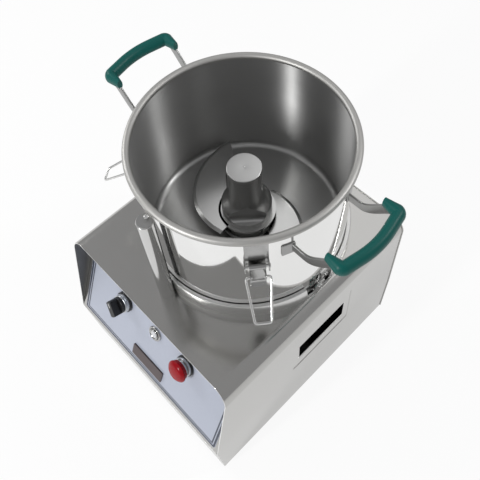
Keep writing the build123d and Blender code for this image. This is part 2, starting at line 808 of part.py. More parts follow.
bail_pivot_z = lever_pivot_z - bail_pivot_drop
slot_length = 14.0
slot_width = 3.2
plate_middle = (latch_plate_top + latch_plate_bottom) / 2
with BuildPart() as latch_plates:
    for angle in latch_angles.values():
        with BuildSketch(radial_plane(angle, bowl_radius - 1, plate_middle)):
            RectangleRounded(latch_width, latch_plate_top - latch_plate_bottom, 2)
        extrude(amount=1 + latch_sheet)
    hug_bowl()
    for angle in latch_angles.values():
        for side in (-1, 1):
            with BuildSketch(section_plane(angle).offset(side * latch_width / 2)):
                with Locations((ear_depth / 2, lever_pivot_z)):
                    RectangleRounded(ear_depth - 0.4, 13, 3)
                with Locations((ear_depth / 4 + latch_sheet / 2, lever_pivot_z)):
                    Rectangle(ear_depth / 2 - latch_sheet, 13)
                with Locations((lever_pivot_out, lever_pivot_z)):
                    Circle(pin_radius, mode=Mode.SUBTRACT)
            extrude(amount=-side * latch_sheet)
save(latch_plates, "latch_plates")

with BuildPart() as latch_pins:
    for angle in latch_angles.values():
        with BuildSketch(section_plane(angle)):
            with Locations((lever_pivot_out, lever_pivot_z)):
                Circle(pin_radius)
        extrude(amount=latch_width / 2, both=True)
        for side in (-1, 1):
            with BuildSketch(section_plane(angle).offset(side * latch_width / 2)):
                with Locations((lever_pivot_out, lever_pivot_z)):
                    Circle(pin_radius + 1)
            extrude(amount=side * 1.0)
save(latch_pins, "latch_pins")

for name, angle in latch_angles.items():
    section = section_plane(angle)

    # Lever: an eye rolled round the pin, a slotted blade, two ears for the bail and a turned-out tip.
    blade_out = lever_pivot_out - pin_radius - 0.4
    tip_z = lever_pivot_z - lever_length
    with BuildPart() as latch_lever:
        with BuildSketch(section):
            with BuildLine():
                blade = Line((blade_out, lever_pivot_z - 1), (blade_out, tip_z + 6))
                TangentArc(blade @ 1, (blade_out + 7, tip_z), tangent=blade % 1)
            trace(line_width=latch_sheet)
            with Locations((lever_pivot_out, lever_pivot_z)):
                Circle(pin_radius + 1.4)
                Circle(pin_radius + 0.05, mode=Mode.SUBTRACT)
        extrude(amount=lever_width / 2, both=True)
        with BuildSketch(radial_plane(angle, bowl_radius, lever_pivot_z - 9)):
            with GridLocations(6, 1, 2, 1):
                SlotOverall(slot_length - 5, slot_width - 1, rotation=90)
        extrude(amount=2 * lever_pivot_out, mode=Mode.SUBTRACT)
        for side in (-1, 1):
            with BuildSketch(section.offset(side * lever_width / 2)):
                with Locations((bail_pivot_out, bail_pivot_z)):
                    Circle(wire_radius + 2)
                with Locations(((blade_out + bail_pivot_out) / 2, bail_pivot_z)):
                    Rectangle(bail_pivot_out - blade_out, 2 * (wire_radius + 2))
                with Locations((bail_pivot_out, bail_pivot_z)):
                    Circle(wire_radius + 0.05, mode=Mode.SUBTRACT)
            extrude(amount=-side * latch_sheet)
    save(latch_lever, f"latch_lever_{name}")

    # Bail: one bent wire whose ends turn in through the lever's ears.
    lean = radians(bail_lean)
    bail_plane = Plane(
        origin=section.from_local_coords((bail_pivot_out, bail_pivot_z, 0)),
        x_dir=section.z_dir,
        z_dir=section.x_dir * cos(lean) + Vector(0, 0, sin(lean)),
    )
    reach = bail_length if bail_plane.y_dir.Z < 0 else -bail_length
    wire_end = lever_width / 2 - latch_sheet - 1
    with BuildPart() as latch_bail:
        with BuildLine(bail_plane) as bail_path:
            FilletPolyline(
                (wire_end, 0),
                (bail_half_root, 0),
                (bail_half_tip, reach),
                (-bail_half_tip, reach),
                (-bail_half_root, 0),
                (-wire_end, 0),
                radius=3,
            )
        with BuildSketch(Plane(origin=bail_path.line @ 0, z_dir=bail_path.line % 0)):
            Circle(wire_radius)
        sweep(path=bail_path.wires()[0])
    save(latch_bail, f"latch_bail_{name}")

# ================================================================ knives
def blade_outline(turn):
    """Flat crescent blade with a convex cutting edge, turned about the axis, with its hub ring."""
    def at(radius, angle):
        a = radians(angle + turn)
        return (radius * cos(a), bowl_y + radius * sin(a))

    edge = []
    for step in range(7):
        share = step / 6
        edge.append(at(blade_root + (blade_tip - blade_root) * share**1.4, blade_start - blade_sweep * share))
    inner = blade_tip * 0.8
    with BuildLine() as outline:
        cutting = Spline(*edge)
        tip = Line(cutting @ 1, at(inner, blade_start - blade_sweep - 2))
        back = Spline(
            tip @ 1,
            at(blade_tip * 0.61, blade_start - blade_sweep + 17),
            at(knife_base_radius - 3, blade_start - blade_sweep + 38),
        )
        root = Line(back @ 1, bowl_axis)
        heel = Line(root @ 1, at(knife_base_radius - 3, blade_start + 9))
        Line(heel @ 1, cutting @ 0)
    make_face(outline.edges())
    with Locations(bowl_axis):
        Circle(knife_base_radius)
        Circle(hub_shoulder, mode=Mode.SUBTRACT)


for name, z, turn in (("knife_upper", upper_blade_z, 0), ("knife_lower", lower_blade_z, 180)):
    with BuildPart() as knife:
        with BuildSketch(Plane.XY.offset(z)):
            blade_outline(turn)
        extrude(amount=blade_thickness)
        bevel = [
            edge
            for edge in knife.edges().filter_by(GeomType.BSPLINE)
            if abs(edge.center().Z - z - blade_thickness) < 0.1 and edge.length > blade_tip
        ]
        chamfer(bevel, length=bevel_depth, length2=bevel_width)
    save(knife, name)

with BuildPart() as knife_spacer:
    ring(blade_ring_radius, hub_shoulder, lower_blade_z + blade_thickness, blade_spacing)
    slot_middle = blade_ring_radius - spacer_slot_depth / 2
    with BuildSketch(Plane.XY.offset(lower_blade_z + blade_thickness)):
        with Locations(bowl_axis):
            with PolarLocations(slot_middle, 1, start_angle=spacer_slot_angle):
                Rectangle(spacer_slot_depth + 1, spacer_slot_width)
    extrude(amount=blade_spacing, mode=Mode.SUBTRACT)
save(knife_spacer, "knife_spacer")

# Hub sleeve carries the stack: flange below, spindle through the knives, driving socket at the top.
sleeve_top = hub_base + 8
with BuildPart() as knife_carrier:
    ring(knife_base_radius, hub_bore, knife_base_z, knife_base_height)
    ring(hub_shoulder, hub_bore, knife_base_z, sleeve_top - knife_base_z)
save(knife_carrier, "knife_carrier")

neck_blend = 22.0
neck_z = hub_base + 18
with BuildPart() as knife_hub:
    with BuildSketch(Plane.XZ.offset(-bowl_y)):
        with BuildLine():
            low = Line((hub_shoulder, hub_base), (hub_radius, hub_base))
            rise = Line(low @ 1, (hub_radius, neck_z))
            blend = Spline(
                rise @ 1,
                (hub_neck_radius + 2.5, neck_z + neck_blend * 0.45),
                (hub_neck_radius, neck_z + neck_blend),
                tangents=((-0.5, 1), (0, 1)),
            )
            neck = Line(blend @ 1, (hub_neck_radius, hub_top))
            lip = Line(neck @ 1, (0, hub_top))
            Line(lip @ 1, (0, hub_base))
            Line((0, hub_base), low @ 0)
        make_face()
    revolve(axis=Axis((0, bowl_y, 0), (0, 0, 1)))
    ring(hub_shoulder, 0, hub_base, sleeve_top - hub_base)
    with BuildSketch(Plane.XY.offset(hub_base)) as bore_face:
        with Locations(bowl_axis):
            Circle(hub_shoulder)
    extrude(amount=sleeve_top - hub_base, mode=Mode.SUBTRACT)
    with BuildSketch(Plane.XY.offset(hub_base)):
        with Locations(bowl_axis):
            Circle(hub_bore)
    extrude(amount=shaft_top - socket_depth + 3 - hub_base, mode=Mode.SUBTRACT)
    with BuildSketch(Plane.XY.offset(hub_base)):
        with Locations(bowl_axis):
            Circle(shaft_radius + 0.08)
        with Locations((0, bowl_y + shaft_flat + 0.08 + shaft_radius)):
            Rectangle(4 * shaft_radius, 2 * shaft_radius, mode=Mode.SUBTRACT)
    extrude(amount=hub_top - hub_base, mode=Mode.SUBTRACT)
    for turn in (0, 180):
        a = radians(scoop_angle + turn)
        with BuildSketch(Plane(origin=(0, bowl_y, hub_base), x_dir=(cos(a), sin(a), 0), z_dir=(sin(a), -cos(a), 0))):
            with Locations((hub_neck_radius + scoop_step + hub_radius / 2, scoop_rise + hub_radius)):
                RectangleRounded(hub_radius, 2 * hub_radius, 6)
        extrude(amount=hub_radius, both=True, mode=Mode.SUBTRACT)
save(knife_hub, "knife_hub")

with BuildPart() as hub_cap:
    ring(cap_radius, 0, hub_top, cap_height)
    crown = hub_cap.edges().filter_by(GeomType.CIRCLE).group_by(Axis.Z)[-1]
    fillet(crown, 1.2)
    with BuildSketch(Plane.XY.offset(hub_top + cap_height)):
        with Locations(bowl_axis):
            Circle(1.6)
    extrude(amount=-0.8, mode=Mode.SUBTRACT)
save(hub_cap, "hub_cap")

# ================================================================ drive
shoulder_top = shaft_top - socket_depth + 3 + 0.4 - 0.5
spindle_radius = tube_bore - 1.5
upper_bearing_z = motor_top + 3
lower_bearing_z = motor_bottom - bearing_height - 2
flange_top = body_top - sheet
with BuildPart() as motor_shaft:
    ring(shaft_radius, 0, shaft_bottom, shaft_top - shaft_bottom)
    with BuildSketch(Plane.XY.offset(shoulder_top)):
        with Locations((0, bowl_y + shaft_flat + shaft_radius)):
            Rectangle(4 * shaft_radius, 2 * shaft_radius)
    extrude(amount=shaft_top, mode=Mode.SUBTRACT)
    spindle_base = upper_bearing_z + bearing_height
    ring(spindle_radius, 0, spindle_base, shoulder_top - spindle_base)
    rotor_base = motor_bottom + 26
    ring(stator_bore - rotor_gap, 0, rotor_base, motor_top - motor_bottom - 52)
    chamfer(motor_shaft.edges().filter_by(GeomType.CIRCLE).group_by(Axis.Z)[-1], 1)
save(motor_shaft, "motor_shaft")

with BuildPart() as motor_fan:
    ring(18, shaft_radius, shaft_bottom + 2, 18)
    ring(fan_radius, shaft_radius, shaft_bottom + 18, 2)
    with BuildSketch(Plane.XY.offset(shaft_bottom + 2)):
        with Locations(bowl_axis):
            with PolarLocations((fan_radius + 17) / 2, fan_blades):
                Rectangle(fan_radius - 17, 2, rotation=25)
    extrude(amount=17)
save(motor_fan, "motor_fan")

with BuildPart() as motor_body:
    ring(motor_radius, motor_radius - motor_wall, motor_bottom, motor_top - motor_bottom)
    with BuildSketch(Plane.XY.offset(motor_bottom + 8)):
        with Locations(bowl_axis):
            with PolarLocations(motor_radius + 2, 24):
                Rectangle(6, 2)
    extrude(amount=motor_top - motor_bottom - 16)
save(motor_body, "motor_body")

with BuildPart() as motor_stator:
    ring(motor_radius - motor_wall, stator_bore, motor_bottom + 24, motor_top - motor_bottom - 48)
save(motor_stator, "motor_stator")

bearing_bore = shaft_radius + bearing_gap
with BuildPart() as motor_bearings:
    for z in (upper_bearing_z, lower_bearing_z):
        ring(bearing_radius, bearing_bore, z, bearing_height)
    for face_z, depth in ((0, 1), (bearing_height, -1)):
        for z in (upper_bearing_z, lower_bearing_z):
            with BuildSketch(Plane.XY.offset(z + face_z)):
                with Locations(bowl_axis):
                    Circle(bearing_radius - 4)
                    Circle(bearing_bore + 4, mode=Mode.SUBTRACT)
            extrude(amount=depth, mode=Mode.SUBTRACT)
save(motor_bearings, "motor_bearings")

with BuildPart() as motor_top_bell:
    ring(motor_radius, 0, motor_top, flange_top - motor_top)
    ring(flange_radius, 0, flange_top - 8, 8)
    ring(seat_bore - 0.3, 0, flange_top, sheet + 1)
    ring(bearing_radius, 0, motor_top, upper_bearing_z + bearing_height - motor_top)
    with BuildSketch(Plane.XY.offset(motor_top)):
        with Locations(bowl_axis):
            Circle(bearing_radius)
    extrude(amount=upper_bearing_z + bearing_height - motor_top, mode=Mode.SUBTRACT)
    with BuildSketch(Plane.XY.offset(motor_top)):
        with Locations(bowl_axis):
            Circle(spindle_radius + 6)
        with Locations(bowl_axis):
            with PolarLocations(bolt_circle / 2, 4, start_angle=45):
                Circle(bolt_radius)
    extrude(amount=2 * body_top, mode=Mode.SUBTRACT)
save(motor_top_bell, "motor_top_bell")

with BuildPart() as shaft_seal:
    ring(spindle_radius + 6, spindle_radius + 0.06, upper_bearing_z + bearing_height + 1, 10)
save(shaft_seal, "shaft_seal")

with BuildPart() as motor_bottom_bell:
    ring(motor_radius, 0, motor_bottom - bearing_height - 4, bearing_height + 4)
    with BuildSketch(Plane.XY.offset(lower_bearing_z)):
        with Locations(bowl_axis):
            Circle(bearing_radius)
    extrude(amount=2 * bearing_height, mode=Mode.SUBTRACT)
    with BuildSketch(Plane.XY):
        with Locations(bowl_axis):
            Circle(shaft_radius + 3)
    extrude(amount=motor_top, mode=Mode.SUBTRACT)
save(motor_bottom_bell, "motor_bottom_bell")

cowl_top = motor_bottom - bearing_height - 4
with BuildPart() as fan_cowl:
    ring(motor_radius, fan_radius + 6, shaft_bottom, cowl_top - shaft_bottom)
    with BuildSketch(Plane.XY.offset(shaft_bottom)):
        with Locations(bowl_axis):
            Circle(motor_radius - motor_wall / 2)
    extrude(amount=cowl_top - shaft_bottom, mode=Mode.SUBTRACT)
    ring(motor_radius - motor_wall / 2, 20, shaft_bottom - 2, 2)
    ring(motor_radius, motor_radius - motor_wall / 2, shaft_bottom - 2, 2)
    with BuildSketch(Plane.XY.offset(shaft_bottom - 2)):
        with Locations(bowl_axis):
            with PolarLocations(44, 10):
                Rectangle(30, 7)
    extrude(amount=2, mode=Mode.SUBTRACT)
save(fan_cowl, "fan_cowl")

with BuildPart() as motor_bolts:
    with BuildSketch(Plane.XY.offset(body_top + seat_plate - 1)):
        with Locations(bowl_axis):
            with PolarLocations(bolt_circle / 2, 4, start_angle=45):
                Circle(bolt_radius)
    extrude(amount=-(seat_plate - 1 + sheet + 8 + 4))
    with BuildSketch(Plane.XY.offset(flange_top - 8)):
        with Locations(bowl_axis):
            with PolarLocations(bolt_circle / 2, 4, start_angle=45):
                RegularPolygon(bolt_radius + 3, 6)
    extrude(amount=-4)
save(motor_bolts, "motor_bolts")

# ================================================================ electrical pieces inside
pan_floor = body_base + sheet
capacitor_radius = 20.0
capacitor_height = 100.0
capacitor_spot = (-105, bowl_y + 63)
with BuildPart() as run_capacitor:
    ring(capacitor_radius, 0, pan_floor, capacitor_height, capacitor_spot)
    fillet(run_capacitor.edges().filter_by(GeomType.CIRCLE).group_by(Axis.Z)[-1], 3)
    with BuildSketch(Plane.XY.offset(pan_floor + capacitor_height)):
        with Locations(capacitor_spot):
            with GridLocations(14, 1, 2, 1):
                Rectangle(1, 6)
    extrude(amount=8)
save(run_capacitor, "run_capacitor")

with BuildPart() as capacitor_clamp:
    ring(capacitor_radius + 1.5, capacitor_radius, pan_floor + 30, 14, capacitor_spot)
    with Locations((capacitor_spot[0], capacitor_spot[1] + capacitor_radius + 0.75, pan_floor + 22)):
        Box(12, 1.5, 44)
    with Locations((capacitor_spot[0], capacitor_spot[1] + capacitor_radius + 8, pan_floor + 0.75)):
        Box(12, 16, 1.5)
save(capacitor_clamp, "capacitor_clamp")

relay_size = (40.0, 56.0, 62.0)
relay_spot = (108, bowl_y + 59)
with BuildPart() as motor_relay:
    with Locations((relay_spot[0], relay_spot[1], pan_floor + relay_size[2] / 2)):
        Box(*relay_size)
    with Locations((relay_spot[0], relay_spot[1], pan_floor + relay_size[2])):
        Box(relay_size[0] - 12, relay_size[1] - 24, 12)
    with BuildSketch(Plane.XY.offset(pan_floor + relay_size[2])):
        with Locations(relay_spot):
            with GridLocations(1, relay_size[1] - 12, 1, 2):
                with GridLocations(10, 1, 4, 1):
                    Circle(3)
    extrude(amount=-5, mode=Mode.SUBTRACT)
save(motor_relay, "motor_relay")

# ================================================================ lid interlock
column_axis = (0, bowl_y + column_y)


def column_face(grow):
    """D-shaped section of the column, its flat towards the bowl."""
    with Locations(column_axis):
        Circle(column_radius + grow)
    with Locations((0, column_axis[1] + column_flat + grow + column_radius)):
        Rectangle(4 * column_radius, 2 * column_radius, mode=Mode.SUBTRACT)


with BuildPart() as interlock_column:
    with BuildSketch(Plane.XY.offset(body_top)):
        column_face(0)
    extrude(amount=column_top - body_top)
    with BuildSketch(Plane.XY.offset(body_top)):
        column_face(-column_wall)
    extrude(amount=column_top - body_top, mode=Mode.SUBTRACT)
save(interlock_column, "interlock_column")

cap_plug = 8.0
rod_spot = (0, column_axis[1] + column_rod_y)
with BuildPart() as column_cap:
    with BuildSketch(Plane.XY.offset(column_top)):
        column_face(0)
    extrude(amount=2)
    with BuildSketch(Plane.XY.offset(column_top)):
        column_face(-column_wall)
    extrude(amount=-cap_plug)
    with BuildSketch(Plane.XY.offset(column_top + 2)):
        with Locations(rod_spot):
            Circle(plunger_radius + 0.08)
    extrude(amount=-3 * cap_plug, mode=Mode.SUBTRACT)
save(column_cap, "column_cap")

switch_top = body_top - sheet
switch_size = (28.0, 16.0, 24.0)
with BuildPart() as interlock_rod:
    with BuildSketch(Plane.XY.offset(switch_top + 0.2 + plunger_travel)):
        with Locations(rod_spot):
            Circle(plunger_radius)
    extrude(amount=column_top + 2 + plunger_travel + 1 - switch_top - 0.2 - plunger_travel)
    fillet(interlock_rod.edges().filter_by(GeomType.CIRCLE).group_by(Axis.Z)[-1], 1)
save(interlock_rod, "interlock_rod")

with BuildPart() as interlock_switch:
    with Locations((0, rod_spot[1] + 6, switch_top - switch_size[2] / 2)):
        Box(*switch_size)
save(interlock_switch, "interlock_switch")
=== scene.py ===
import bpy
import bmesh
import json
import math
import numpy as np
from mathutils import Matrix, Vector

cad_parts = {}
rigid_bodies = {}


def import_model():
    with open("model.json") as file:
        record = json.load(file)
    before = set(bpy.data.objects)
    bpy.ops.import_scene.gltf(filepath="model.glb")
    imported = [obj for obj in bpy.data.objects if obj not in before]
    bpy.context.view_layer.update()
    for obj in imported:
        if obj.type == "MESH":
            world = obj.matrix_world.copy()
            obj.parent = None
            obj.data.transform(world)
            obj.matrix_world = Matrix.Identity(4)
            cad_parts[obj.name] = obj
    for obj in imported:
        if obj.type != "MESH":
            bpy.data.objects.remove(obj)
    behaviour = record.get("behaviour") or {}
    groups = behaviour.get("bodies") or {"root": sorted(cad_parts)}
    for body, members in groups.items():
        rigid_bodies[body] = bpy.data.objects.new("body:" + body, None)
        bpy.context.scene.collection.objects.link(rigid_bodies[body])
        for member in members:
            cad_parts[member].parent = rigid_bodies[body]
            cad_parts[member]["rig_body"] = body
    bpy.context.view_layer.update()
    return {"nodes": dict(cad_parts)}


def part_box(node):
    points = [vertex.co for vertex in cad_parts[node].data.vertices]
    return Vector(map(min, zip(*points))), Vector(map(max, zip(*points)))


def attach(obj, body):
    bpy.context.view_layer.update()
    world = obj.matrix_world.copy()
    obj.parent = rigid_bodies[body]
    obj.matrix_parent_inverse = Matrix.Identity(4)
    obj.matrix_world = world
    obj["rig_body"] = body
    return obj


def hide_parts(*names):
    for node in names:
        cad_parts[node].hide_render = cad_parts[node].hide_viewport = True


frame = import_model()
nodes = frame["nodes"]
mm = 0.001

low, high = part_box("bowl_shell")
middle = (low + high) / 2 / mm
bowlAxis = np.array([0.0, middle.y, 0.0])      # the upright axis of bowl, knives and motor
up = np.array([0.0, 0.0, 1.0])
print("frame loaded, bowl axis at y", round(bowlAxis[1], 2))


# mesh helpers
def unit(v):
    # each row divided by its own length
    v = np.asarray(v, float)
    return v / np.linalg.norm(v, axis=-1, keepdims=True)


def meshFrom(name, points, faces, material, smoothAngle=35, uv=None):
    # points in millimetres; faces is an integer array, or a list when sizes differ
    mesh = bpy.data.meshes.new(name)
    mesh.from_pydata((np.asarray(points) * mm).tolist(), [], [list(map(int, f)) for f in faces])
    if uv is not None:
        layer = mesh.uv_layers.new(name="UVMap")
        index = np.zeros(len(mesh.loops), np.int32)
        mesh.loops.foreach_get("vertex_index", index)
        layer.data.foreach_set("uv", np.asarray(uv, np.float32)[index].ravel())
    mesh.polygons.foreach_set("use_smooth", np.ones(len(mesh.polygons), bool))
    mesh.set_sharp_from_angle(angle=math.radians(smoothAngle))
    piece = bpy.data.objects.new(name, mesh)
    bpy.context.scene.collection.objects.link(piece)
    piece.data.materials.append(material)
    return piece


def mergeDoubles(piece, distance=0.004, outward=True):
    # vertices closer than the distance become one, and the normals are turned outwards where asked
    work = bmesh.new()
    work.from_mesh(piece.data)
    bmesh.ops.remove_doubles(work, verts=work.verts, dist=distance * mm)
    bmesh.ops.dissolve_degenerate(work, dist=distance * mm, edges=work.edges)
    if outward:
        bmesh.ops.recalc_face_normals(work, faces=work.faces)
    work.to_mesh(piece.data)
    work.free()
    piece.data.update()
    return piece


def gridFaces(rows, columns, wrapRows=False, wrapColumns=False):
    # quads between neighbours of a rows x columns grid of points
    r = np.arange(rows if wrapRows else rows - 1)
    c = np.arange(columns if wrapColumns else columns - 1)
    a, b = np.meshgrid(r, c, indexing="ij")
    a2, b2 = (a + 1) % rows, (b + 1) % columns
    return np.stack([a * columns + b, a2 * columns + b, a2 * columns + b2, a * columns + b2], -1).reshape(-1, 4)


def lathe(name, profile, material, origin=bowlAxis, axis=up, steps=128, closed=False, smoothAngle=35):
    # surface = origin + h * axis + r * (cos(t) * e1 + sin(t) * e2), for each (r, h) of the profile and angle t
    axis = unit(axis)
    seam = [0.123, 1.0, 0.0]                    # sets where t starts round an upright axis
    e1 = unit(np.cross(axis, seam) if abs(axis[2]) > 0.9 else np.cross(up, axis))
    e2 = np.cross(axis, e1)
    t = np.linspace(0, 2 * np.pi, steps, endpoint=False)[:, None, None]
    r, h = np.asarray(profile, float).T[:, None, :, None]
    points = origin + h * axis + r * (np.cos(t) * e1 + np.sin(t) * e2)
    faces = gridFaces(steps, len(profile), wrapRows=True, wrapColumns=closed)
    return mergeDoubles(meshFrom(name, points.reshape(-1, 3), faces, material, smoothAngle))


def rounded(corners, radius, steps=5, closed=False):
    # each corner of a polyline becomes an arc that touches both sides; the arc's point is centre + a blend of
    # its two radii by the sines of the angles left and turned; radius is one number or one for each corner
    p = np.asarray(corners, float)
    radii = np.broadcast_to(radius, (len(p),)).astype(float)
    inner = range(len(p)) if closed else range(1, len(p) - 1)
    made = [] if closed else [p[:1]]
    for i in inner:
        before, after = p[i - 1] - p[i], p[(i + 1) % len(p)] - p[i]
        la, lb = np.linalg.norm(before), np.linalg.norm(after)
        a, b = before / la, after / lb
        half = np.arccos(np.clip(a @ b, -1, 1)) / 2
        cut = min(radii[i] / np.tan(half), la * 0.49, lb * 0.49) if half < 1.56 else 0
        if cut < 1e-6:
            made.append(p[i:i + 1])
            continue
        r = cut * np.tan(half)
        centre = p[i] + unit(a + b) * (r / np.sin(half))
        s, e = p[i] + a * cut - centre, p[i] + b * cut - centre
        turn = np.pi - 2 * half
        k = np.linspace(0, 1, steps + 1)[:, None]
        made.append(centre + (s * np.sin((1 - k) * turn) + e * np.sin(k * turn)) / np.sin(turn))
    if not closed:
        made.append(p[-1:])
    return np.concatenate(made)


def carried(name, path, section, material, sideways, smoothAngle=35):
    # section (a, b) carried along path: point = path + a * n + b * m, with m the vector sideways made square to
    # the run of the path, and n square to both; the two ends are closed
    path = np.asarray(path, float)
    step = np.diff(path, axis=0)
    run = unit(unit(np.concatenate([step, step[-1:]])) + unit(np.concatenate([step[:1], step])))
    m = unit(np.broadcast_to(sideways, path.shape) - (run @ unit(sideways))[:, None] * run)
    n = np.cross(m, run)
    s = np.asarray(section, float)
    s = np.broadcast_to(s, (len(path),) + s.shape[-2:])
    points = path[:, None] + s[..., :1] * n[:, None] + s[..., 1:] * m[:, None]
    count = s.shape[1]
    ends = [list(range(count)), list(range((len(path) - 1) * count, len(path) * count))[::-1]]
    faces = gridFaces(len(path), count, wrapColumns=True).tolist() + ends
    return mergeDoubles(meshFrom(name, points.reshape(-1, 3), faces, material, smoothAngle))


def arced(corners, arcSteps):
    # polyline (a, b) from corners that are (a, b, radius of the arc there); for a turned piece a is the radius
    # and b the height
    corners = np.asarray(corners, float)
    return rounded(corners[:, :2], corners[:, 2], arcSteps)


def circle(radius, steps):
    # points (radius * cos(t), radius * sin(t)) at equal angles t
    t = np.linspace(0, 2 * np.pi, steps, endpoint=False)
    return np.stack([radius * np.cos(t), radius * np.sin(t)], -1)


def roundedBox(width, height, radius, steps=4):
    # outline of a box about the origin whose corners are arcs
    w, h = width / 2, height / 2
    return rounded([(-w, -h), (w, -h), (w, h), (-w, h)], radius, steps, closed=True)


def soften(piece, width, angle=30, harden=False):
    # bevel on the edges where two faces meet at more than the angle
    bevel = piece.modifiers.new("edge", "BEVEL")
    bevel.width = width * mm
    bevel.segments = 2
    bevel.limit_method = "ANGLE"
    bevel.angle_limit = math.radians(angle)
    bevel.harden_normals = harden


def evenShade(piece):
    # shading normals weighed by face area, with the sharp edges kept
    piece.modifiers.new("shade", "WEIGHTED_NORMAL").keep_sharp = True


def slab(name, outline, thickness, origin, e1, e2, material, edge=0.2, ownUv=False, smoothAngle=35):
    # plate: outline points (a, b) give origin + a * e1 + b * e2 on the near face and the same moved by the
    # thickness along e1 x e2 on the far face, with its edges bevelled
    o = np.asarray(outline, float)
    normal = np.cross(e1, e2)
    near = origin + o[:, :1] * e1 + o[:, 1:] * e2
    far = near + normal * thickness
    count = len(o)
    side = np.arange(count)
    walls = np.stack([side, (side + 1) % count, (side + 1) % count + count, side + count], -1).tolist()
    faces = [list(range(count))[::-1], list(range(count, 2 * count))] + walls
    uv = np.concatenate([o, o]) if ownUv else None
    piece = meshFrom(name, np.concatenate([near, far]), faces, material, smoothAngle, uv)
    if edge:
        soften(piece, edge, harden=True)
    return piece


def fromNode(node, material, edge, smoothAngle=32):
    # a copy of the CAD node's mesh with its loose triangles merged, shaded smooth and its edges softened
    source = nodes[node]
    mesh = source.data.copy()
    piece = bpy.data.objects.new(node + "Finish", mesh)
    bpy.context.scene.collection.objects.link(piece)
    mesh.materials.clear()
    mesh.materials.append(material)
    mergeDoubles(piece, 0.002, outward=False)
    work = bmesh.new()
    work.from_mesh(mesh)
    bmesh.ops.dissolve_limit(work, angle_limit=math.radians(0.5), verts=work.verts, edges=work.edges)
    work.to_mesh(mesh)
    work.free()
    mesh.polygons.foreach_set("use_smooth", np.ones(len(mesh.polygons), bool))
    mesh.set_sharp_from_angle(angle=math.radians(smoothAngle))
    soften(piece, edge, angle=40)
    evenShade(piece)
    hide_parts(node)
    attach(piece, source["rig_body"])
    return piece


def settle(piece, body, *replaced, slot=None):
    # a finished piece rides on its body and stands for the CAD nodes that it replaces
    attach(piece, body)
    if replaced:
        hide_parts(*replaced)
    return piece


# material helpers
class Wire:                                  # one output socket, with arithmetic that adds Math nodes
    def __init__(self, paint, socket):
        self.paint, self.socket = paint, socket

    def math(self, operation, a, b=None, clamp=False):
        # the operation on a alone, or on a and b
        values = {0: a} if b is None else {0: a, 1: b}
        return self.paint.node("ShaderNodeMath", {"operation": operation, "use_clamp": clamp}, values)

    def __add__(self, other): return self.math("ADD", self, other)
    def __radd__(self, other): return self.math("ADD", other, self)
    def __sub__(self, other): return self.math("SUBTRACT", self, other)
    def __rsub__(self, other): return self.math("SUBTRACT", other, self)
    def __mul__(self, other): return self.math("MULTIPLY", self, other)
    def __rmul__(self, other): return self.math("MULTIPLY", other, self)
    def __pow__(self, other): return self.math("POWER", self, other)
    def __rpow__(self, other): return self.math("POWER", other, self)
    def __abs__(self): return self.math("ABSOLUTE", self)
    def above(self, edge): return self.math("GREATER_THAN", self, edge)
    def most(self, other): return self.math("MAXIMUM", self, other)
    def least(self, other): return self.math("MINIMUM", self, other)
    def clamped(self): return self.math("ADD", self, 0.0, clamp=True)


class Paint:                                 # a material whose nodes are added one at a time
    def __init__(self, name):
        self.material = bpy.data.materials.new(name)
        self.material.use_nodes = True
        self.tree = self.material.node_tree
        self.tree.nodes.clear()
        self.output = self.tree.nodes.new("ShaderNodeOutputMaterial")

    def node(self, kind, settings=None, inputs=None, take=0):
        # any kind of node: its settings first, then values or links of its sockets; gives the output to take
        made = self.tree.nodes.new(kind)
        for key, value in (settings or {}).items():
            setattr(made, key, value)
        for key, value in (inputs or {}).items():
            socket = made.inputs[key]
            if isinstance(value, Wire):
                self.tree.links.new(value.socket, socket)
            elif isinstance(value, (tuple, list)) and len(value) == 3 and socket.type == "RGBA":
                socket.default_value = (*value, 1)
            else:
                socket.default_value = value
        return Wire(self, made.outputs[take])

    def place(self, scale=(1, 1, 1)):
        # where on the piece: its own coordinates in metres, times the scale
        where = self.node("ShaderNodeTexCoord", take="Object")
        return self.node("ShaderNodeMapping", {}, {"Vector": where, "Scale": scale})

    def noise(self, where, scale, detail=3, roughness=0.55):
        # 0 to 1 about 0.5, with scale cells to the unit of where
        values = {"Vector": where, "Scale": scale, "Detail": detail, "Roughness": roughness}
        return self.node("ShaderNodeTexNoise", {}, values, take="Fac")

    def mix(self, share, one, two):
        # colours: 6 and 7 are the colour sockets of the Mix node, output 2 its colour
        return self.node("ShaderNodeMix", {"data_type": "RGBA"}, {0: share, 6: one, 7: two}, take=2)

    def bump(self, height, strength, distance):
        # normal tipped as if the surface stood height * distance millimetres higher
        values = {"Height": height, "Strength": strength, "Distance": distance * mm}
        return self.node("ShaderNodeBump", {}, values)

    def surface(self, **sockets):
        # base_color and so on become the shader's sockets Base Color and so on
        names = {key.replace("_", " ").title().replace("Ior", "IOR"): value for key, value in sockets.items()}
        shader = self.node("ShaderNodeBsdfPrincipled", {}, names)
        self.tree.links.new(shader.socket, self.output.inputs["Surface"])
        return self.material


# cells of noise to the metre: brushing lines and wear of metal, orange peel and change of tone of plastic
cells = {"lines": 900, "wear": 14, "peel": 420, "tone": 26}


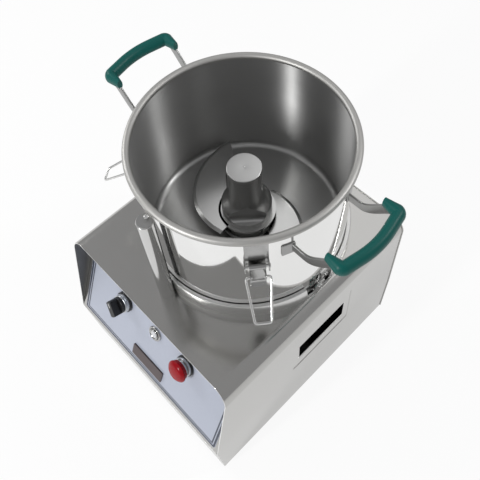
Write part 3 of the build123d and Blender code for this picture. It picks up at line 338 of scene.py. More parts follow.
def brushedMetal(name, shade, rough, grain, brush=(1, 1, 1), anisotropy=0.0, spin=0.0, tint=(1, 1, 0.985),
                 spots=0.06):
    # metal: fine parallel lines from noise stretched along the brushing, over slow cloudy wear;
    # colour = tint * shade * (1 + lines * grain + wear * spots), and the roughness follows both
    p = Paint(name)
    lines = p.noise(p.place(tuple(cells["lines"] * b for b in brush)), 1.0, 4, 0.7)
    cloud = p.noise(p.place([cells["wear"]] * 3), 1.0, 3)
    value = 1 + (lines - 0.5) * grain + (cloud - 0.5) * spots
    base = tuple(shade * c for c in tint)
    colour = p.node("ShaderNodeVectorMath", {"operation": "SCALE"}, {0: base, "Scale": value})
    roughness = rough + (lines - 0.5) * grain * 0.5 + (cloud - 0.5) * 0.08
    return p.surface(base_color=colour, metallic=1.0, roughness=roughness, anisotropic=anisotropy,
                     anisotropic_rotation=spin, normal=p.bump(lines, grain * 0.4, 0.02))


def moulded(name, colour, rough, coat=0.0, texture=0.15, shine=0.5):
    # moulded plastic or rubber: fine orange peel with slow changes of tone; value = 1 + (tone - 0.5) * 0.12
    p = Paint(name)
    grain = p.noise(p.place(), cells["peel"], 2)
    tone = p.noise(p.place(), cells["tone"], 3)
    value = 1 + (tone - 0.5) * 0.12
    shade = p.node("ShaderNodeVectorMath", {"operation": "SCALE"}, {0: colour, "Scale": value})
    return p.surface(base_color=shade, roughness=rough + (grain - 0.5) * 0.1, coat_weight=coat,
                     coat_roughness=0.08, specular_ior_level=shine, normal=p.bump(grain, texture, 0.05))


# finishes: for metal the shade, roughness, depth of grain and brushing; for plastic the colour and roughness
finish = {
    "sheet": brushedMetal("satinSheet", 0.50, 0.17, 0.10, (0.02, 1, 1), tint=(1, 0.99, 0.96)),
    "rail": brushedMetal("satinRail", 0.76, 0.30, 0.08, (0.02, 1, 1)),
    # painted highlight: the sheet's end faces take a much brighter steel than the sheet itself (0.92 against
    # 0.50), drawing a bright line along its edges
    "cutEdgeHighlight": brushedMetal("cutEdgeHighlight", 0.92, 0.30, 0.04),
    # painted shade: the inner faces of the same sheet are made much darker (0.16 against 0.50) so that the
    # cheeks' inner sides look shaded
    "inside": brushedMetal("insideSheetPaintedShade", 0.16, 0.40, 0.12, (1, 0.02, 1)),
    "trim": brushedMetal("turnedTrim", 0.44, 0.12, 0.05),
    "bowlOut": brushedMetal("polishedBowl", 0.87, 0.05, 0.04, (0.2, 0.2, 1), spots=0.03),
    "bowlIn": brushedMetal("brushedBowl", 0.42, 0.40, 0.12, (0.03, 0.03, 1), anisotropy=1.0, spin=0.25),
    "floor": brushedMetal("bowlFloor", 0.45, 0.33, 0.08, (1, 1, 0.1), anisotropy=0.8, spin=0.25),
    "rim": brushedMetal("satinRim", 0.48, 0.52, 0.06, (1, 1, 0.2), tint=(1, 0.99, 0.955)),
    "polished": brushedMetal("polishedSteel", 0.62, 0.14, 0.06, (1, 1, 0.05), spots=0.03),
    "collar": brushedMetal("satinCollar", 0.66, 0.30, 0.05, (0.3, 0.3, 1), spots=0.03),
    "strap": brushedMetal("satinStrap", 0.36, 0.34, 0.08, (0.05, 1, 1)),
    "plate": brushedMetal("latchSheet", 0.44, 0.20, 0.08, (1, 1, 0.05)),
    "satin": brushedMetal("satinTrim", 0.60, 0.34, 0.04, tint=(0.94, 0.97, 1.0)),
    "chrome": brushedMetal("brightTrim", 0.74, 0.10, 0.03),
    "knife": brushedMetal("groundKnife", 0.58, 0.22, 0.10, (0.05, 1, 1)),
    "hub": brushedMetal("satinHub", 0.50, 0.40, 0.08, (1, 1, 0.05)),
    "hubTop": brushedMetal("turnedCap", 0.54, 0.36, 0.06),
    "black": moulded("blackMoulding", (0.012, 0.012, 0.013), 0.38),
    "red": moulded("redCap", (0.27, 0.002, 0.007), 0.2, texture=0.02, shine=0.22),
    "green": moulded("greenGrip", (0.0, 0.088, 0.076), 0.40, texture=0.1, shine=0.26),
    "rubber": moulded("blackRubber", (0.02, 0.02, 0.02), 0.7),
    "lens": moulded("clearLens", (0.55, 0.56, 0.58), 0.12, coat=0.8, texture=0.02),
    "white": moulded("whiteMoulding", (0.7, 0.7, 0.68), 0.4),
    "motor": moulded("greyPaint", (0.09, 0.1, 0.12), 0.45, texture=0.3),
    "alloy": brushedMetal("castAlloy", 0.45, 0.5, 0.25),
}


print("finishes made")


def paintNode(material, *names):
    # plain CAD pieces keep their own mesh and take a finish
    for name in names:
        nodes[name].data.materials.clear()
        nodes[name].data.materials.append(material)


# housing
housing = {"halfWidth": 149.0, "top": 270.0, "base": 12.0, "kneeZ": 106.0, "corner": 21.0, "sheet": 1.5,
           "frontTop": -180.0, "frontKnee": -211.0, "frontBase": -205.0, "rear": 139.0, "sideTaper": 2.0,
           "slotMiddle": -14.0, "slotLength": 86.0, "slotLow": 160.5, "slotHigh": 200.5,
           "borderY": 10.5, "borderZ": 21.5, "press": 0.7, "slope": 0.8, "edge": 0.55}


def makeWrapper():
    # sheet over a grid: the rows follow the folded outline (x, z), the columns run from the front edge to the
    # rear; the cells of each slot are left out, and the border round it is pressed in
    h = housing
    low, knee = [h["halfWidth"] - h["sideTaper"], h["base"]], [h["halfWidth"], h["kneeZ"]]
    rows = [h["slotLow"] - h["borderZ"] - h["slope"], h["slotLow"] - h["borderZ"], h["slotLow"], h["slotHigh"],
            h["slotHigh"] + h["borderZ"], h["slotHigh"] + h["borderZ"] + h["slope"]]
    t = np.linspace(0, np.pi / 2, 15)
    arc = [h["halfWidth"], h["top"]] - h["corner"] * (1 - np.stack([np.cos(t), np.sin(t)], -1))
    right = np.concatenate([[low, knee], [[h["halfWidth"], z] for z in rows], arc])
    outline = np.concatenate([right, (right * [-1, 1])[::-1]])
    half = h["slotLength"] / 2
    steps = half + h["borderY"] * np.array([0, 1, 1]) + h["slope"] * np.array([0, 0, 1])
    columns = h["slotMiddle"] + np.concatenate([-steps[::-1], steps])
    x, z = outline[:, :1], outline[:, 1:]
    below = h["frontKnee"] + (h["frontBase"] - h["frontKnee"]) * (h["kneeZ"] - z) / (h["kneeZ"] - h["base"])
    above = h["frontKnee"] + (h["frontTop"] - h["frontKnee"]) * (z - h["kneeZ"]) / (h["top"] - h["kneeZ"])
    front = np.where(z < h["kneeZ"], below, above)
    y = np.concatenate([front, np.broadcast_to(columns, (len(outline), 6)), np.full_like(front, h["rear"])], 1)
    pressed = (z > rows[0] + 0.1) & (z < rows[-1] - 0.1) & (y > columns[0] + 0.1) & (y < columns[-1] - 0.1)
    pressed &= abs(x) > h["halfWidth"] - 0.1
    points = np.stack([x - np.sign(x) * h["press"] * pressed, y + bowlAxis[1], np.broadcast_to(z, y.shape)], -1)
    faces = gridFaces(len(outline), 8)
    mid = points.reshape(-1, 3)[faces].mean(1)
    slot = abs(mid[:, 1] - bowlAxis[1] - h["slotMiddle"]) < half
    slot &= (mid[:, 2] > h["slotLow"]) & (mid[:, 2] < h["slotHigh"]) & (abs(mid[:, 0]) > h["halfWidth"] - 2)
    piece = meshFrom("housingSheet", points.reshape(-1, 3), faces[~slot], finish["sheet"], 30)
    piece.data.materials.append(finish["inside"])
    piece.data.materials.append(finish["cutEdgeHighlight"])
    mergeDoubles(piece)
    wall = piece.modifiers.new("sheet", "SOLIDIFY")
    wall.thickness = h["sheet"] * mm
    wall.offset = -1
    # the inner faces take the dark steel: painted shade on the sheet's inner side
    wall.material_offset = 1
    # the rim faces take the brighter steel: a painted highlight along the sheet's edges
    wall.material_offset_rim = 2
    soften(piece, h["edge"], angle=50)
    evenShade(piece)
    settle(piece, "housing", "housing_wrapper", slot="satin_steel")


makeWrapper()
fromNode("rear_cover", finish["sheet"], 0.15)
fromNode("front_apron", finish["rail"], 0.2)
paintNode(finish["sheet"], "base_pan", "vent_hoods", "control_panel", "capacitor_clamp", "fan_cowl")
fromNode("rubber_feet", finish["rubber"], 0.4)
fromNode("cable_gland", finish["black"], 0.2)
paintNode(finish["motor"], "motor_body")
paintNode(finish["alloy"], "motor_stator", "motor_top_bell", "motor_bottom_bell")
paintNode(finish["chrome"], "foot_bolts", "motor_bolts", "motor_bearings", "latch_pins", "catch_screws",
          "cover_screws")
paintNode(finish["polished"], "motor_shaft", "bowl_lugs", "seat_catches")
paintNode(finish["black"], "motor_fan", "shaft_seal", "motor_relay", "switch_blocks", "interlock_switch")
paintNode(finish["white"], "run_capacitor")
print("housing made")


# control panel: its face leans from the housing's knee to topY; the controls stand in one row on it
panel = {"topY": -142.0, "halfWidth": 147.2, "length": 171.9, "row": 94.5, "selector": -64.0, "start": 0.0,
         "stop": 60.0}
label = {"margin": 6.0, "thick": 0.4, "corner": 4.0, "outerLine": (0.6, 3.8), "innerLine": (5.2, 7.4),
         "paper": ((0.37, 0.40, 0.48), (0.40, 0.43, 0.51)), "line": (0.022, 0.03, 0.055), "cells": 300}
namePlate = {"x": -0.6, "v": 29.0, "width": 61.0, "height": 19.5, "corner": 1.0, "thick": 2.0, "off": 0.4,
             "metal": ((0.085, 0.066, 0.066), (0.12, 0.095, 0.095)), "cells": (900, 20, 20)}
across = np.array([1.0, 0, 0])
panelOrigin = np.array([0.0, bowlAxis[1] + housing["frontKnee"], housing["kneeZ"]])
panelUp = unit([0.0, panel["topY"] - housing["frontKnee"], housing["top"] - housing["kneeZ"]])
panelOut = np.cross(across, panelUp)


def onPanel(x, v, out=label["thick"]):
    # point = origin + x * across + v * up the face + out * away from it
    return panelOrigin + across * x + panelUp * v + panelOut * out


def labelFilm():
    # the film's own UV map is in millimetres; reach is the distance past its rounded edge, so the border lines
    # are the bands where -reach lies between two widths
    p = Paint("labelFilm")
    where = p.node("ShaderNodeUVMap", {"uv_map": "UVMap"})
    u = p.node("ShaderNodeSeparateXYZ", {}, {0: where})
    v = Wire(p, u.socket.node.outputs[1])
    du = abs(u) - (panel["halfWidth"] - label["margin"] - label["corner"])
    dv = abs(v - panel["length"] / 2) - (panel["length"] / 2 - label["margin"] - label["corner"])
    reach = (du.most(0.0) ** 2 + dv.most(0.0) ** 2) ** 0.5 + du.most(dv).least(0.0) - label["corner"]
    inner = reach * -1
    widths = label["outerLine"], label["innerLine"]
    lines = [inner.above(low) * (1 - inner.above(high)) for low, high in widths]
    grain = p.noise(p.place(), label["cells"], 2)
    paper = p.mix(grain, *label["paper"])
    colour = p.mix((lines[0] + lines[1]).clamped(), paper, label["line"])
    return p.surface(base_color=colour, roughness=0.34 + (grain - 0.5) * 0.08, coat_weight=0.25,
                     coat_roughness=0.2)


def darkPlate():
    # dark metal with lines of noise stretched across the plate
    p = Paint("darkPlate")
    lines = p.noise(p.place(namePlate["cells"]), 1.0, 3)
    return p.surface(base_color=p.mix(lines, *namePlate["metal"]), metallic=0.6,
                     roughness=0.34 + (lines - 0.5) * 0.15)


def makePanel():
    # two flat sheets on the face: outline (x, v), thickness away from it
    low, high = label["margin"], panel["length"] - label["margin"]
    half = panel["halfWidth"] - label["margin"]
    corners = [(-half, low), (half, low), (half, high), (-half, high)]
    outline = rounded(corners, label["corner"], 4, closed=True)
    film = slab("labelSheet", outline, label["thick"], onPanel(0, 0, 0.0), across, panelUp, labelFilm(),
                edge=0.1, ownUv=True)
    settle(film, "housing", "panel_label", slot="label_film")
    q = namePlate
    plate = roundedBox(q["width"], q["height"], q["corner"])
    seated = onPanel(q["x"], q["v"])
    face = slab("namePlate", plate, q["thick"], seated + panelOut * q["off"], across, panelUp, darkPlate(),
                edge=0.3)
    settle(face, "housing", "name_plate", slot="plate_dark")
    back = slab("plateBack", plate * 0.995, 0.5, seated, across, panelUp, finish["black"], edge=0)
    settle(back, "housing", slot="plate_dark")


# turned pieces of the controls: (radius, height above the label, radius of the arc at that corner)
controls = {
    "selectorBase": [(0, 0, 0), (14.5, 0, 0), (14.5, 4, 0.9), (13.2, 4, 0), (0, 4, 0)],
    "stopRing": [(10.9, 0, 0), (14.5, 0, 0), (14.5, 3, 0.9), (10.9, 3, 0)],
    "selectorBezel": [(0, 4, 0), (13, 4, 0), (13, 6.2, 0.3), (12.3, 6.7, 0.2), (12.3, 7.2, 0.2), (13, 7.7, 0.3),
                      (13, 10, 1), (11, 10, 0.3), (10.4, 9.4, 0.3), (0, 9.4, 0)],
    "stopSleeve": [(10.9, 3, 0), (13, 3, 0), (13, 6, 1), (10.9, 6, 0)],
    "startBezel": [(7.9, 0, 0), (11, 0, 0), (11, 3, 1.2), (8.6, 3, 0.3), (7.9, 2.2, 0)],
    "startButton": [(0, 2.2, 0), (7.6, 2.2, 0.2), (7.6, 4.5, 0.5), (6.6, 4.6, 0.5), (5.4, 3.7, 0.4),
                    (0, 3.5, 0)],
    "startLens": [(0, 3.45, 0), (5, 3.45, 0.05), (4.9, 4.1, 0.5), (0, 4.5, 0)],
    "stopCap": [(0, 12.42, 0), (10.45, 12.42, 0), (10.45, 10.4, 0.1), (13.8, 10.4, 0.5), (13.8, 13.6, 0.8),
                (15.2, 14.4, 0.6), (15.2, 16.2, 1.5), (12.2, 18.9, 5), (9.3, 20, 0.3), (8.8, 19.7, 0.3),
                (6, 20.3, 6), (0, 20.8, 0)],
    "stopStem": [(0, 4.4, 0), (10.4, 4.4, 0), (10.4, 12.4, 0), (0, 12.4, 0)],
    "knobSkirt": [(0, 10.2, 0), (11.5, 10.2, 0.4), (11.5, 14.2, 0.8), (0, 14.2, 0)],
}
knob = {"turn": 45.0, "width": 10.5, "radius": 11.5, "foot": 14.2, "height": 12.0, "edge": 1.1,
        "markWidth": 1.3, "markLength": 6.5, "markOut": 6.0, "markSunk": 0.08}


def stack(name, place, paint, body, *replaced, slot, arcSteps=4, steps=64, smoothAngle=35):
    # a turned piece of a control, about the axis that stands on the panel at the control's place in the row
    profile = arced(controls[name], arcSteps)
    piece = lathe(name, profile, finish[paint], onPanel(panel[place], panel["row"]), panelOut, steps,
                  smoothAngle=smoothAngle)
    settle(piece, body, *replaced, slot=slot)


def makeKnobGrip():
    # bar: two sides half its width from the axis, closed by arcs of the skirt's radius, turned on the axis
    q = knob
    turn = math.radians(q["turn"])
    gripAcross = across * math.cos(turn) + panelUp * math.sin(turn)
    gripAlong = panelUp * math.cos(turn) - across * math.sin(turn)
    half = q["width"] / 2
    start = math.atan2(math.sqrt(q["radius"] ** 2 - half ** 2), half)
    t = np.linspace(start, math.pi - start, 9)
    end = np.stack([q["radius"] * np.cos(t), q["radius"] * np.sin(t)], -1)
    foot = onPanel(panel["selector"], panel["row"], label["thick"] + q["foot"])
    grip = slab("knobGrip", np.concatenate([end, -end]), q["height"], foot, gripAcross, gripAlong,
                finish["black"], edge=q["edge"], smoothAngle=50)
    settle(grip, "selector", slot="black_plastic")
    top = foot + panelOut * (q["height"] - q["markSunk"]) + gripAlong * q["markOut"]
    mark = slab("knobMark", roundedBox(q["markWidth"], q["markLength"], 0.6), 0.1, top, gripAcross, gripAlong,
                finish["white"], edge=0)
    settle(mark, "selector", slot="white_plastic")


def makeControls():
    # from the left: selector, start button, emergency stop
    stack("selectorBase", "selector", "black", "housing", "control_rings", slot="black_plastic")
    stack("stopRing", "stop", "black", "housing", slot="black_plastic")
    stack("selectorBezel", "selector", "satin", "housing", "control_bezels", slot="bright_trim", arcSteps=3)
    stack("stopSleeve", "stop", "satin", "housing", slot="bright_trim")
    stack("startBezel", "start", "trim", "housing", "start_bezel", slot="bright_trim")
    stack("startButton", "start", "trim", "start", "start_button", slot="black_plastic")
    stack("startLens", "start", "lens", "start", slot="white_plastic")
    stack("stopCap", "stop", "red", "stop_head", "stop_cap", slot="red_cap", arcSteps=6, steps=96,
          smoothAngle=50)
    stack("stopStem", "stop", "satin", "stop_slide", "stop_stem", slot="bright_trim")
    stack("knobSkirt", "selector", "black", "selector", "selector_knob", slot="black_plastic", arcSteps=3)
    makeKnobGrip()


makePanel()
makeControls()
print("control panel made")


# bowl seat: a flat plate and a collar with a turned-in lip and two notches
seat = {"bore": 40.0, "radius": 132.5, "under": 270.02, "top": 274.0, "notch": 40.0, "notchRadius": 131.4,
        "notchFloor": 274.3, "turn": -3.0,
        "collar": [(130.6, 274.05), (130.6, 292.6), (127.8, 292.9), (127.8, 293.5), (130.9, 294),
                   (131.9, 293.8), (132.5, 292.9), (132.5, 274.05)]}


def makeSeat():
    # lathe grid r, h over t, where h is pressed down to the notch's floor at angles nearer than half a notch
    # to turn and to turn + 180 degrees
    q = seat
    steps, halfNotch, turn = 360, q["notch"] / 2 / q["notchRadius"], math.radians(q["turn"])
    outline = np.array(q["collar"])
    t = np.linspace(0, 2 * np.pi, steps, endpoint=False)[:, None]
    r, h = outline.T[:, None, :]
    off = np.minimum(abs((t - turn + np.pi) % (2 * np.pi) - np.pi), abs((t - turn) % (2 * np.pi) - np.pi))
    z = np.where(off < halfNotch, np.minimum(h, q["notchFloor"]), h + 0 * t)
    points = np.stack([r * np.cos(t), bowlAxis[1] + r * np.sin(t), z], -1)
    faces = gridFaces(steps, len(outline), True, True)
    collar = mergeDoubles(meshFrom("seatCollar", points.reshape(-1, 3), faces, finish["collar"], 40))
    settle(collar, "housing", slot="polished_steel")
    plate = [(q["bore"], q["under"]), (q["radius"], q["under"]), (q["radius"], q["top"]), (q["bore"], q["top"])]
    plate = lathe("seatPlate", plate, finish["collar"], steps=256, closed=True)
    settle(plate, "housing", "bowl_seat", slot="polished_steel")


# bowl: wall, rolled rim and the tube in its middle, whose floor rises towards it
bowl = {"radius": 127.0, "wall": 1.5, "beadRadius": 4.4, "rim": 134.0, "rimZ": 452.0, "base": 274.3,
        "corner": 9.0, "rise": 5.0, "tubeBore": 16.0, "tubeWall": 2.0, "tubeTop": 372.0, "tubeFoot": 2.0,
        "tubeJoin": 360.0, "wallTopIn": 446.0, "wallTopOut": 443.5, "rimFinish": 443.2, "floorFinish": 7.0}


def makeBowl():
    # one closed profile (r, z) turned about the axis: up the inside, round the bead, down the outside, round
    # the tube's top; each face takes its finish by where its middle lies
    b = bowl
    inner, bore, tube = b["radius"] - b["wall"], b["tubeBore"], b["tubeBore"] + b["tubeWall"]
    floor = b["base"] + b["wall"]
    t = np.radians(np.linspace(178, -128, 40))
    bead = [b["rim"], b["rimZ"]] + b["beadRadius"] * (np.stack([np.cos(t), np.sin(t)], -1) - 1)
    inside = arced([(tube, b["tubeJoin"], 0), (tube, floor + b["rise"], b["tubeFoot"]),
                    (inner, floor, b["corner"]), (inner, b["wallTopIn"], 0)], 12)
    outside = arced([(b["radius"], b["wallTopOut"], 0), (b["radius"], b["base"], b["corner"] + b["wall"]),
                     (bore, b["base"] + b["rise"], 0.5), (bore, b["tubeJoin"], 0)], 12)
    top = arced([(bore, b["tubeJoin"], 0), (bore, b["tubeTop"], 0.6), (tube, b["tubeTop"], 0.6),
                 (tube, b["tubeJoin"], 0)], 3)
    profile = np.concatenate([inside, bead, outside, top[1:-1]])
    shell = lathe("bowlShell", profile, finish["bowlIn"], steps=256, closed=True, smoothAngle=60)
    for paint in ("bowlOut", "floor", "rim"):
        shell.data.materials.append(finish[paint])
    centre = np.zeros(len(shell.data.polygons) * 3)
    shell.data.polygons.foreach_get("center", centre)
    x, y, z = centre.reshape(-1, 3).T / mm
    r = np.hypot(x, y - bowlAxis[1])
    kind = np.where(r > inner + 0.3, 1, 0)
    kind[z > b["rimFinish"]] = 3
    kind[(z < floor + b["floorFinish"]) & (r < inner - 0.2)] = 2
    shell.data.polygons.foreach_set("material_index", kind.astype(np.int32))
    settle(shell, "bowl", "bowl_shell", slot="polished_steel")


makeSeat()
makeBowl()
print("bowl made")


# handles: a steel strap with a welded tab at each root, and a moulded grip round its bow
handle = {"half": 44.0, "gripX": 183.7, "bow": 9.0, "leg": 20.0, "z": 449.0, "rootZ": 412.0, "bendX": 136.0,
          "strap": (12.0, 3.0, 1.1), "tab": (16.0, 20.0, 2.0), "tabSheet": 1.5, "tabOut": 127.1,
          "tabAside": 5.3, "mouth": (3.4, 7.4), "swell": (3.9, 1.4), "taper": 17.0, "bend": 4.5,
          "bowBend": 140.0}


def smoothStep(s):
    # 0 to 1 with level ends: s * s * (3 - 2 * s)
    return s * s * (3 - 2 * s)


def makeStrap(side, name):
    # each leg's line: level out to the bend, then it rises by a smooth step of the way out to the grip
    h = handle
    wall = math.sqrt(bowl["radius"] ** 2 - h["half"] ** 2)
    s = np.linspace(0, 1, 25)
    x = np.concatenate([[wall - 0.5], h["bendX"] + (h["gripX"] - h["bendX"]) * s])
    z = np.concatenate([[h["rootZ"]], h["rootZ"] + (h["z"] - h["rootZ"]) * smoothStep(s)])
    legs = []
    for leg in (-1, 1):
        path = np.stack([side * x, np.full_like(x, bowlAxis[1] + leg * h["half"]), z], -1)
        legs.append(carried(f"strap{name}{leg}", path, roundedBox(*h["strap"], 3), finish["strap"], [0, 1, 0],
                            smoothAngle=50))
        angle = math.atan2(leg * (h["half"] + h["tabAside"]), side * wall)
        outwards = np.array([math.cos(angle), math.sin(angle), 0])
        around = np.array([-math.sin(angle), math.cos(angle), 0])
        tab = slab(f"tab{name}{leg}", roundedBox(*h["tab"], 3), h["tabSheet"],
                   bowlAxis + outwards * h["tabOut"] + up * h["rootZ"], around, up, finish["strap"], edge=0.4)
        settle(tab, "bowl", slot="polished_steel")
    settle(legs[0], "bowl", f"handle_strap_{name.lower()}", slot="polished_steel")
    settle(legs[1], "bowl", slot="polished_steel")


def makeGrip(side, name):
    # an oval carried round two bends and a bowed bar; its half widths are mouth + swell * the smooth step of
    # the way from a mouth over the length of the taper
    h = handle
    out, mouth = side * h["gripX"], side * (h["gripX"] - h["leg"])
    corners = [(mouth, -h["half"], 0), (out, -h["half"], h["bend"]), (out + side * h["bow"], 0, h["bowBend"]),
               (out, h["half"], h["bend"]), (mouth, h["half"], 0)]
    flat = arced(corners, 14)
    path = np.column_stack([flat[:, 0], flat[:, 1] + bowlAxis[1], np.full(len(flat), h["z"])])
    run = np.concatenate([[0], np.cumsum(np.linalg.norm(np.diff(path, axis=0), axis=1))])
    swell = smoothStep(np.clip(np.minimum(run, run[-1] - run) / h["taper"], 0, 1))
    size = np.array(h["mouth"]) + swell[:, None] * h["swell"]
    oval = size[:, None] * circle(1.0, 28)
    grip = carried(f"grip{name}", path, oval, finish["green"], [0, 0, 1], smoothAngle=50)
    soften(grip, 1.0, angle=60)
    settle(grip, "bowl", f"handle_grip_{name.lower()}", slot="green_grip")


for side, name in ((1, "Right"), (-1, "Left")):
    makeStrap(side, name)
    makeGrip(side, name)
print("handles made")


# latches: plate with two ears on the bowl's wall, lever on a pin, wire bail between the lever's small ears
latch = {"angles": {"right": -38.0, "left": -142.0, "rear": 90.0}, "sheet": 1.4, "plateWidth": 26.0,
         "plateTop": 440.0, "plateLow": 392.0, "earIn": 1.2, "earOut": 10.8, "earHalf": 6.4,
         "pivotZ": 400.0, "pivotOut": 6.5, "pin": 1.75, "leverLength": 40.0, "leverWidth": 18.0,
         "leverCurl": 7.0, "bailDrop": 17.0, "bailOut": 10.0, "bailLength": 50.0, "bailRoot": 14.0,
         "bailTip": 9.0, "bailEar": 3.4, "bailEarOut": 3.2, "lean": 52.0, "wire": 1.4}


def makeLatch(name, degrees):
    # place on the wall at an angle: point = wall + t * side + u * out + z * up
    q = latch
    angle = math.radians(degrees)
    out = np.array([math.cos(angle), math.sin(angle), 0.0])
    side = np.array([-math.sin(angle), math.cos(angle), 0.0])
    wall = bowlAxis + out * bowl["radius"]
    ending = name.capitalize()
    sheet, width = q["sheet"], q["leverWidth"]

    def at(t, u, z):
        return wall + side * t + out * u + up * z

    plate = slab("latchPlate" + ending, roundedBox(q["plateWidth"], q["plateTop"] - q["plateLow"], 2, 3), sheet,
                 at(0, 0.1, (q["plateTop"] + q["plateLow"]) / 2), side, up, finish["plate"], edge=0.3)
    settle(plate, "bowl", *(["latch_plates"] if name == "right" else []), slot="polished_steel")
    low, high = q["pivotZ"] - q["earHalf"], q["pivotZ"] + q["earHalf"]
    corners = [(q["earIn"], low), (q["earOut"], low), (q["earOut"], high), (q["earIn"], high)]
    ear = rounded(corners, [0.1, 3, 3, 0.1], 5, closed=True)
    for s in (-1, 1):
        piece = slab(f"latchEar{ending}{s}", ear, sheet, at(s * q["plateWidth"] / 2, 0, 0), out, up,
                     finish["plate"], edge=0.25)
        settle(piece, "bowl", slot="polished_steel")
    # lever: a strip from the pin down to a turned-out tip, with a rolled eye round the pin
    blade = q["pivotOut"] - q["pin"] - 0.4
    tip = q["pivotZ"] - q["leverLength"]
    t = np.linspace(0, np.pi * 0.42, 8)[1:]
    curl = [blade, tip + 6] + q["leverCurl"] * np.stack([1 - np.cos(t), -np.sin(t)], -1)
    line = np.concatenate([[(blade, q["pivotZ"] - 1), (blade, q["pivotZ"] - 12), (blade, tip + 14),
                            (blade, tip + 6)], curl])
    path = wall + line[:, :1] * out + line[:, 1:] * up
    strip = carried("latchLever" + ending, path, roundedBox(sheet, width, 0.4, 2), finish["plate"], side,
                    smoothAngle=45)
    settle(strip, f"lever_{name}", f"latch_lever_{name}", slot="polished_steel")
    inner, outer = q["pin"] + 0.05, q["pin"] + sheet
    eye = [(inner, -width / 2, 0), (outer, -width / 2, 0.3), (outer, width / 2, 0.3), (inner, width / 2, 0)]
    roll = lathe("leverEye" + ending, arced(eye, 3), finish["plate"], at(0, q["pivotOut"], q["pivotZ"]), side,
                 32, closed=True)
    settle(roll, f"lever_{name}", slot="polished_steel")
    # bail: small ears on the lever, and a wire bent in the plane that leans out from them
    pivot, half, reach = q["pivotZ"] - q["bailDrop"], q["bailEar"], q["bailOut"] + q["bailEarOut"]
    corners = [(blade, pivot - half), (reach, pivot - half), (reach, pivot + half), (blade, pivot + half)]
    ear = rounded(corners, [0, 3.2, 3.2, 0], 6, closed=True)
    for s, t in ((-1, sheet - width / 2), (1, width / 2)):
        piece = slab(f"bailEar{ending}{s}", ear, sheet, at(t, 0, 0), out, up, finish["plate"], edge=0.2)
        settle(piece, f"lever_{name}", slot="polished_steel")
    lean = math.radians(q["lean"])
    down = out * math.sin(lean) - up * math.cos(lean)
    n, root, foot, length = width / 2 - sheet - 1, q["bailRoot"], q["bailTip"], q["bailLength"]
    flat = arced([(n, 0, 0), (root, 0, 3), (foot, length, 3.5), (-foot, length, 3.5), (-root, 0, 3),
                  (-n, 0, 0)], 7)
    path = at(0, q["bailOut"], pivot) + flat[:, :1] * side + flat[:, 1:] * down
    wire = carried("latchBail" + ending, path, circle(q["wire"], 14), finish["chrome"], np.cross(side, down),
                   smoothAngle=50)
    settle(wire, f"bail_{name}", f"latch_bail_{name}", slot="bright_trim")


for name, degrees in latch["angles"].items():
    makeLatch(name, degrees)
print("latches made")


# knives: back gives the inner edge's radius at shares of the sweep
knife = {"ring": 37.0, "bore": 24.1, "root": 50.0, "tip": 112.0, "sweep": 125.0, "start": -87.0, "curve": 1.4,
         "back": ([0, 0.68, 0.74, 0.80, 0.88, 0.94, 1], [34, 34, 36, 44, 62, 76, 90]), "smooth": 9,
         "thick": 3.0, "bevelWidth": 4.5, "bevelDepth": 1.9, "upperZ": 301.5, "lowerZ": 287.5}
# hub: sleeve (radius, height) that carries the stack, and cap (radius, height, radius of the arc)
hub = {"sleeve": [(19.2, 283.5), (37, 283.5), (37, 287.5), (24, 287.5), (24, 312), (19.2, 312)],
       "cap": [(0, 389.1, 0), (21.6, 389.1, 0.4), (21.6, 394, 1.3), (1.8, 394, 0.2), (1.2, 393.4, 0.2),
               (0, 393.4, 0)]}


def makeKnife(name, node, z, turn):
    # the outer edge's radius is root + (tip - root) * s ** curve as the angle turns by the sweep, the inner
    # edge's is the smoothed back; the section between them has a bevel ground at the outer edge
    k = knife
    steps = 60
    s = np.linspace(0, 1, steps)
    angle = np.radians(turn + k["start"] - k["sweep"] * s)
    ray = np.stack([np.cos(angle), np.sin(angle)], -1)
    back = np.pad(np.interp(s, *k["back"]), k["smooth"] // 2, mode="edge")
    inner = ray * np.convolve(back, np.ones(k["smooth"]) / k["smooth"], "valid")[:, None]
    outer = ray * (k["root"] + (k["tip"] - k["root"]) * s ** k["curve"])[:, None]
    outwards = unit(outer - inner)
    length = np.linalg.norm(outer - inner, axis=1)
    reach = np.stack([0 * length, length, length, length - k["bevelWidth"], 0 * length], -1)
    height = z + np.array([0, 0, k["thick"] - k["bevelDepth"], k["thick"], k["thick"]])
    flat = inner[:, None] + outwards[:, None] * reach[..., None]
    points = np.stack([flat[..., 0], flat[..., 1] + bowlAxis[1], np.broadcast_to(height, reach.shape)], -1)
    ends = [list(range(5)), list(range(5 * steps - 5, 5 * steps))[::-1]]
    faces = gridFaces(steps, 5, wrapColumns=True).tolist() + ends
    blade = mergeDoubles(meshFrom(name, points.reshape(-1, 3), faces, finish["knife"], 20))
    low, high = z, z + k["thick"]
    ring = lathe(name + "Ring", [(k["bore"], low), (k["ring"], low), (k["ring"], high), (k["bore"], high)],
                 finish["knife"], steps=96, closed=True)
    settle(blade, "knives", node, slot="knife_steel")
    settle(ring, "knives", slot="knife_steel")


def makeHub():
    # turned sleeve under the knives and turned cap on the hub
    fromNode("knife_spacer", finish["hub"], 0.2)
    sleeve = lathe("knifeCarrier", hub["sleeve"], finish["hub"], steps=96, closed=True)
    settle(sleeve, "knives", "knife_carrier", slot="knife_steel")
    fromNode("knife_hub", finish["hub"], 0.4, smoothAngle=40)
    cap = lathe("hubCap", arced(hub["cap"], 5), finish["hubTop"], steps=96)
    settle(cap, "knives", "hub_cap", slot="knife_steel")


makeKnife("knifeUpper", "knife_upper", knife["upperZ"], 0)
makeKnife("knifeLower", "knife_lower", knife["lowerZ"], 180)
makeHub()
print("knives made")


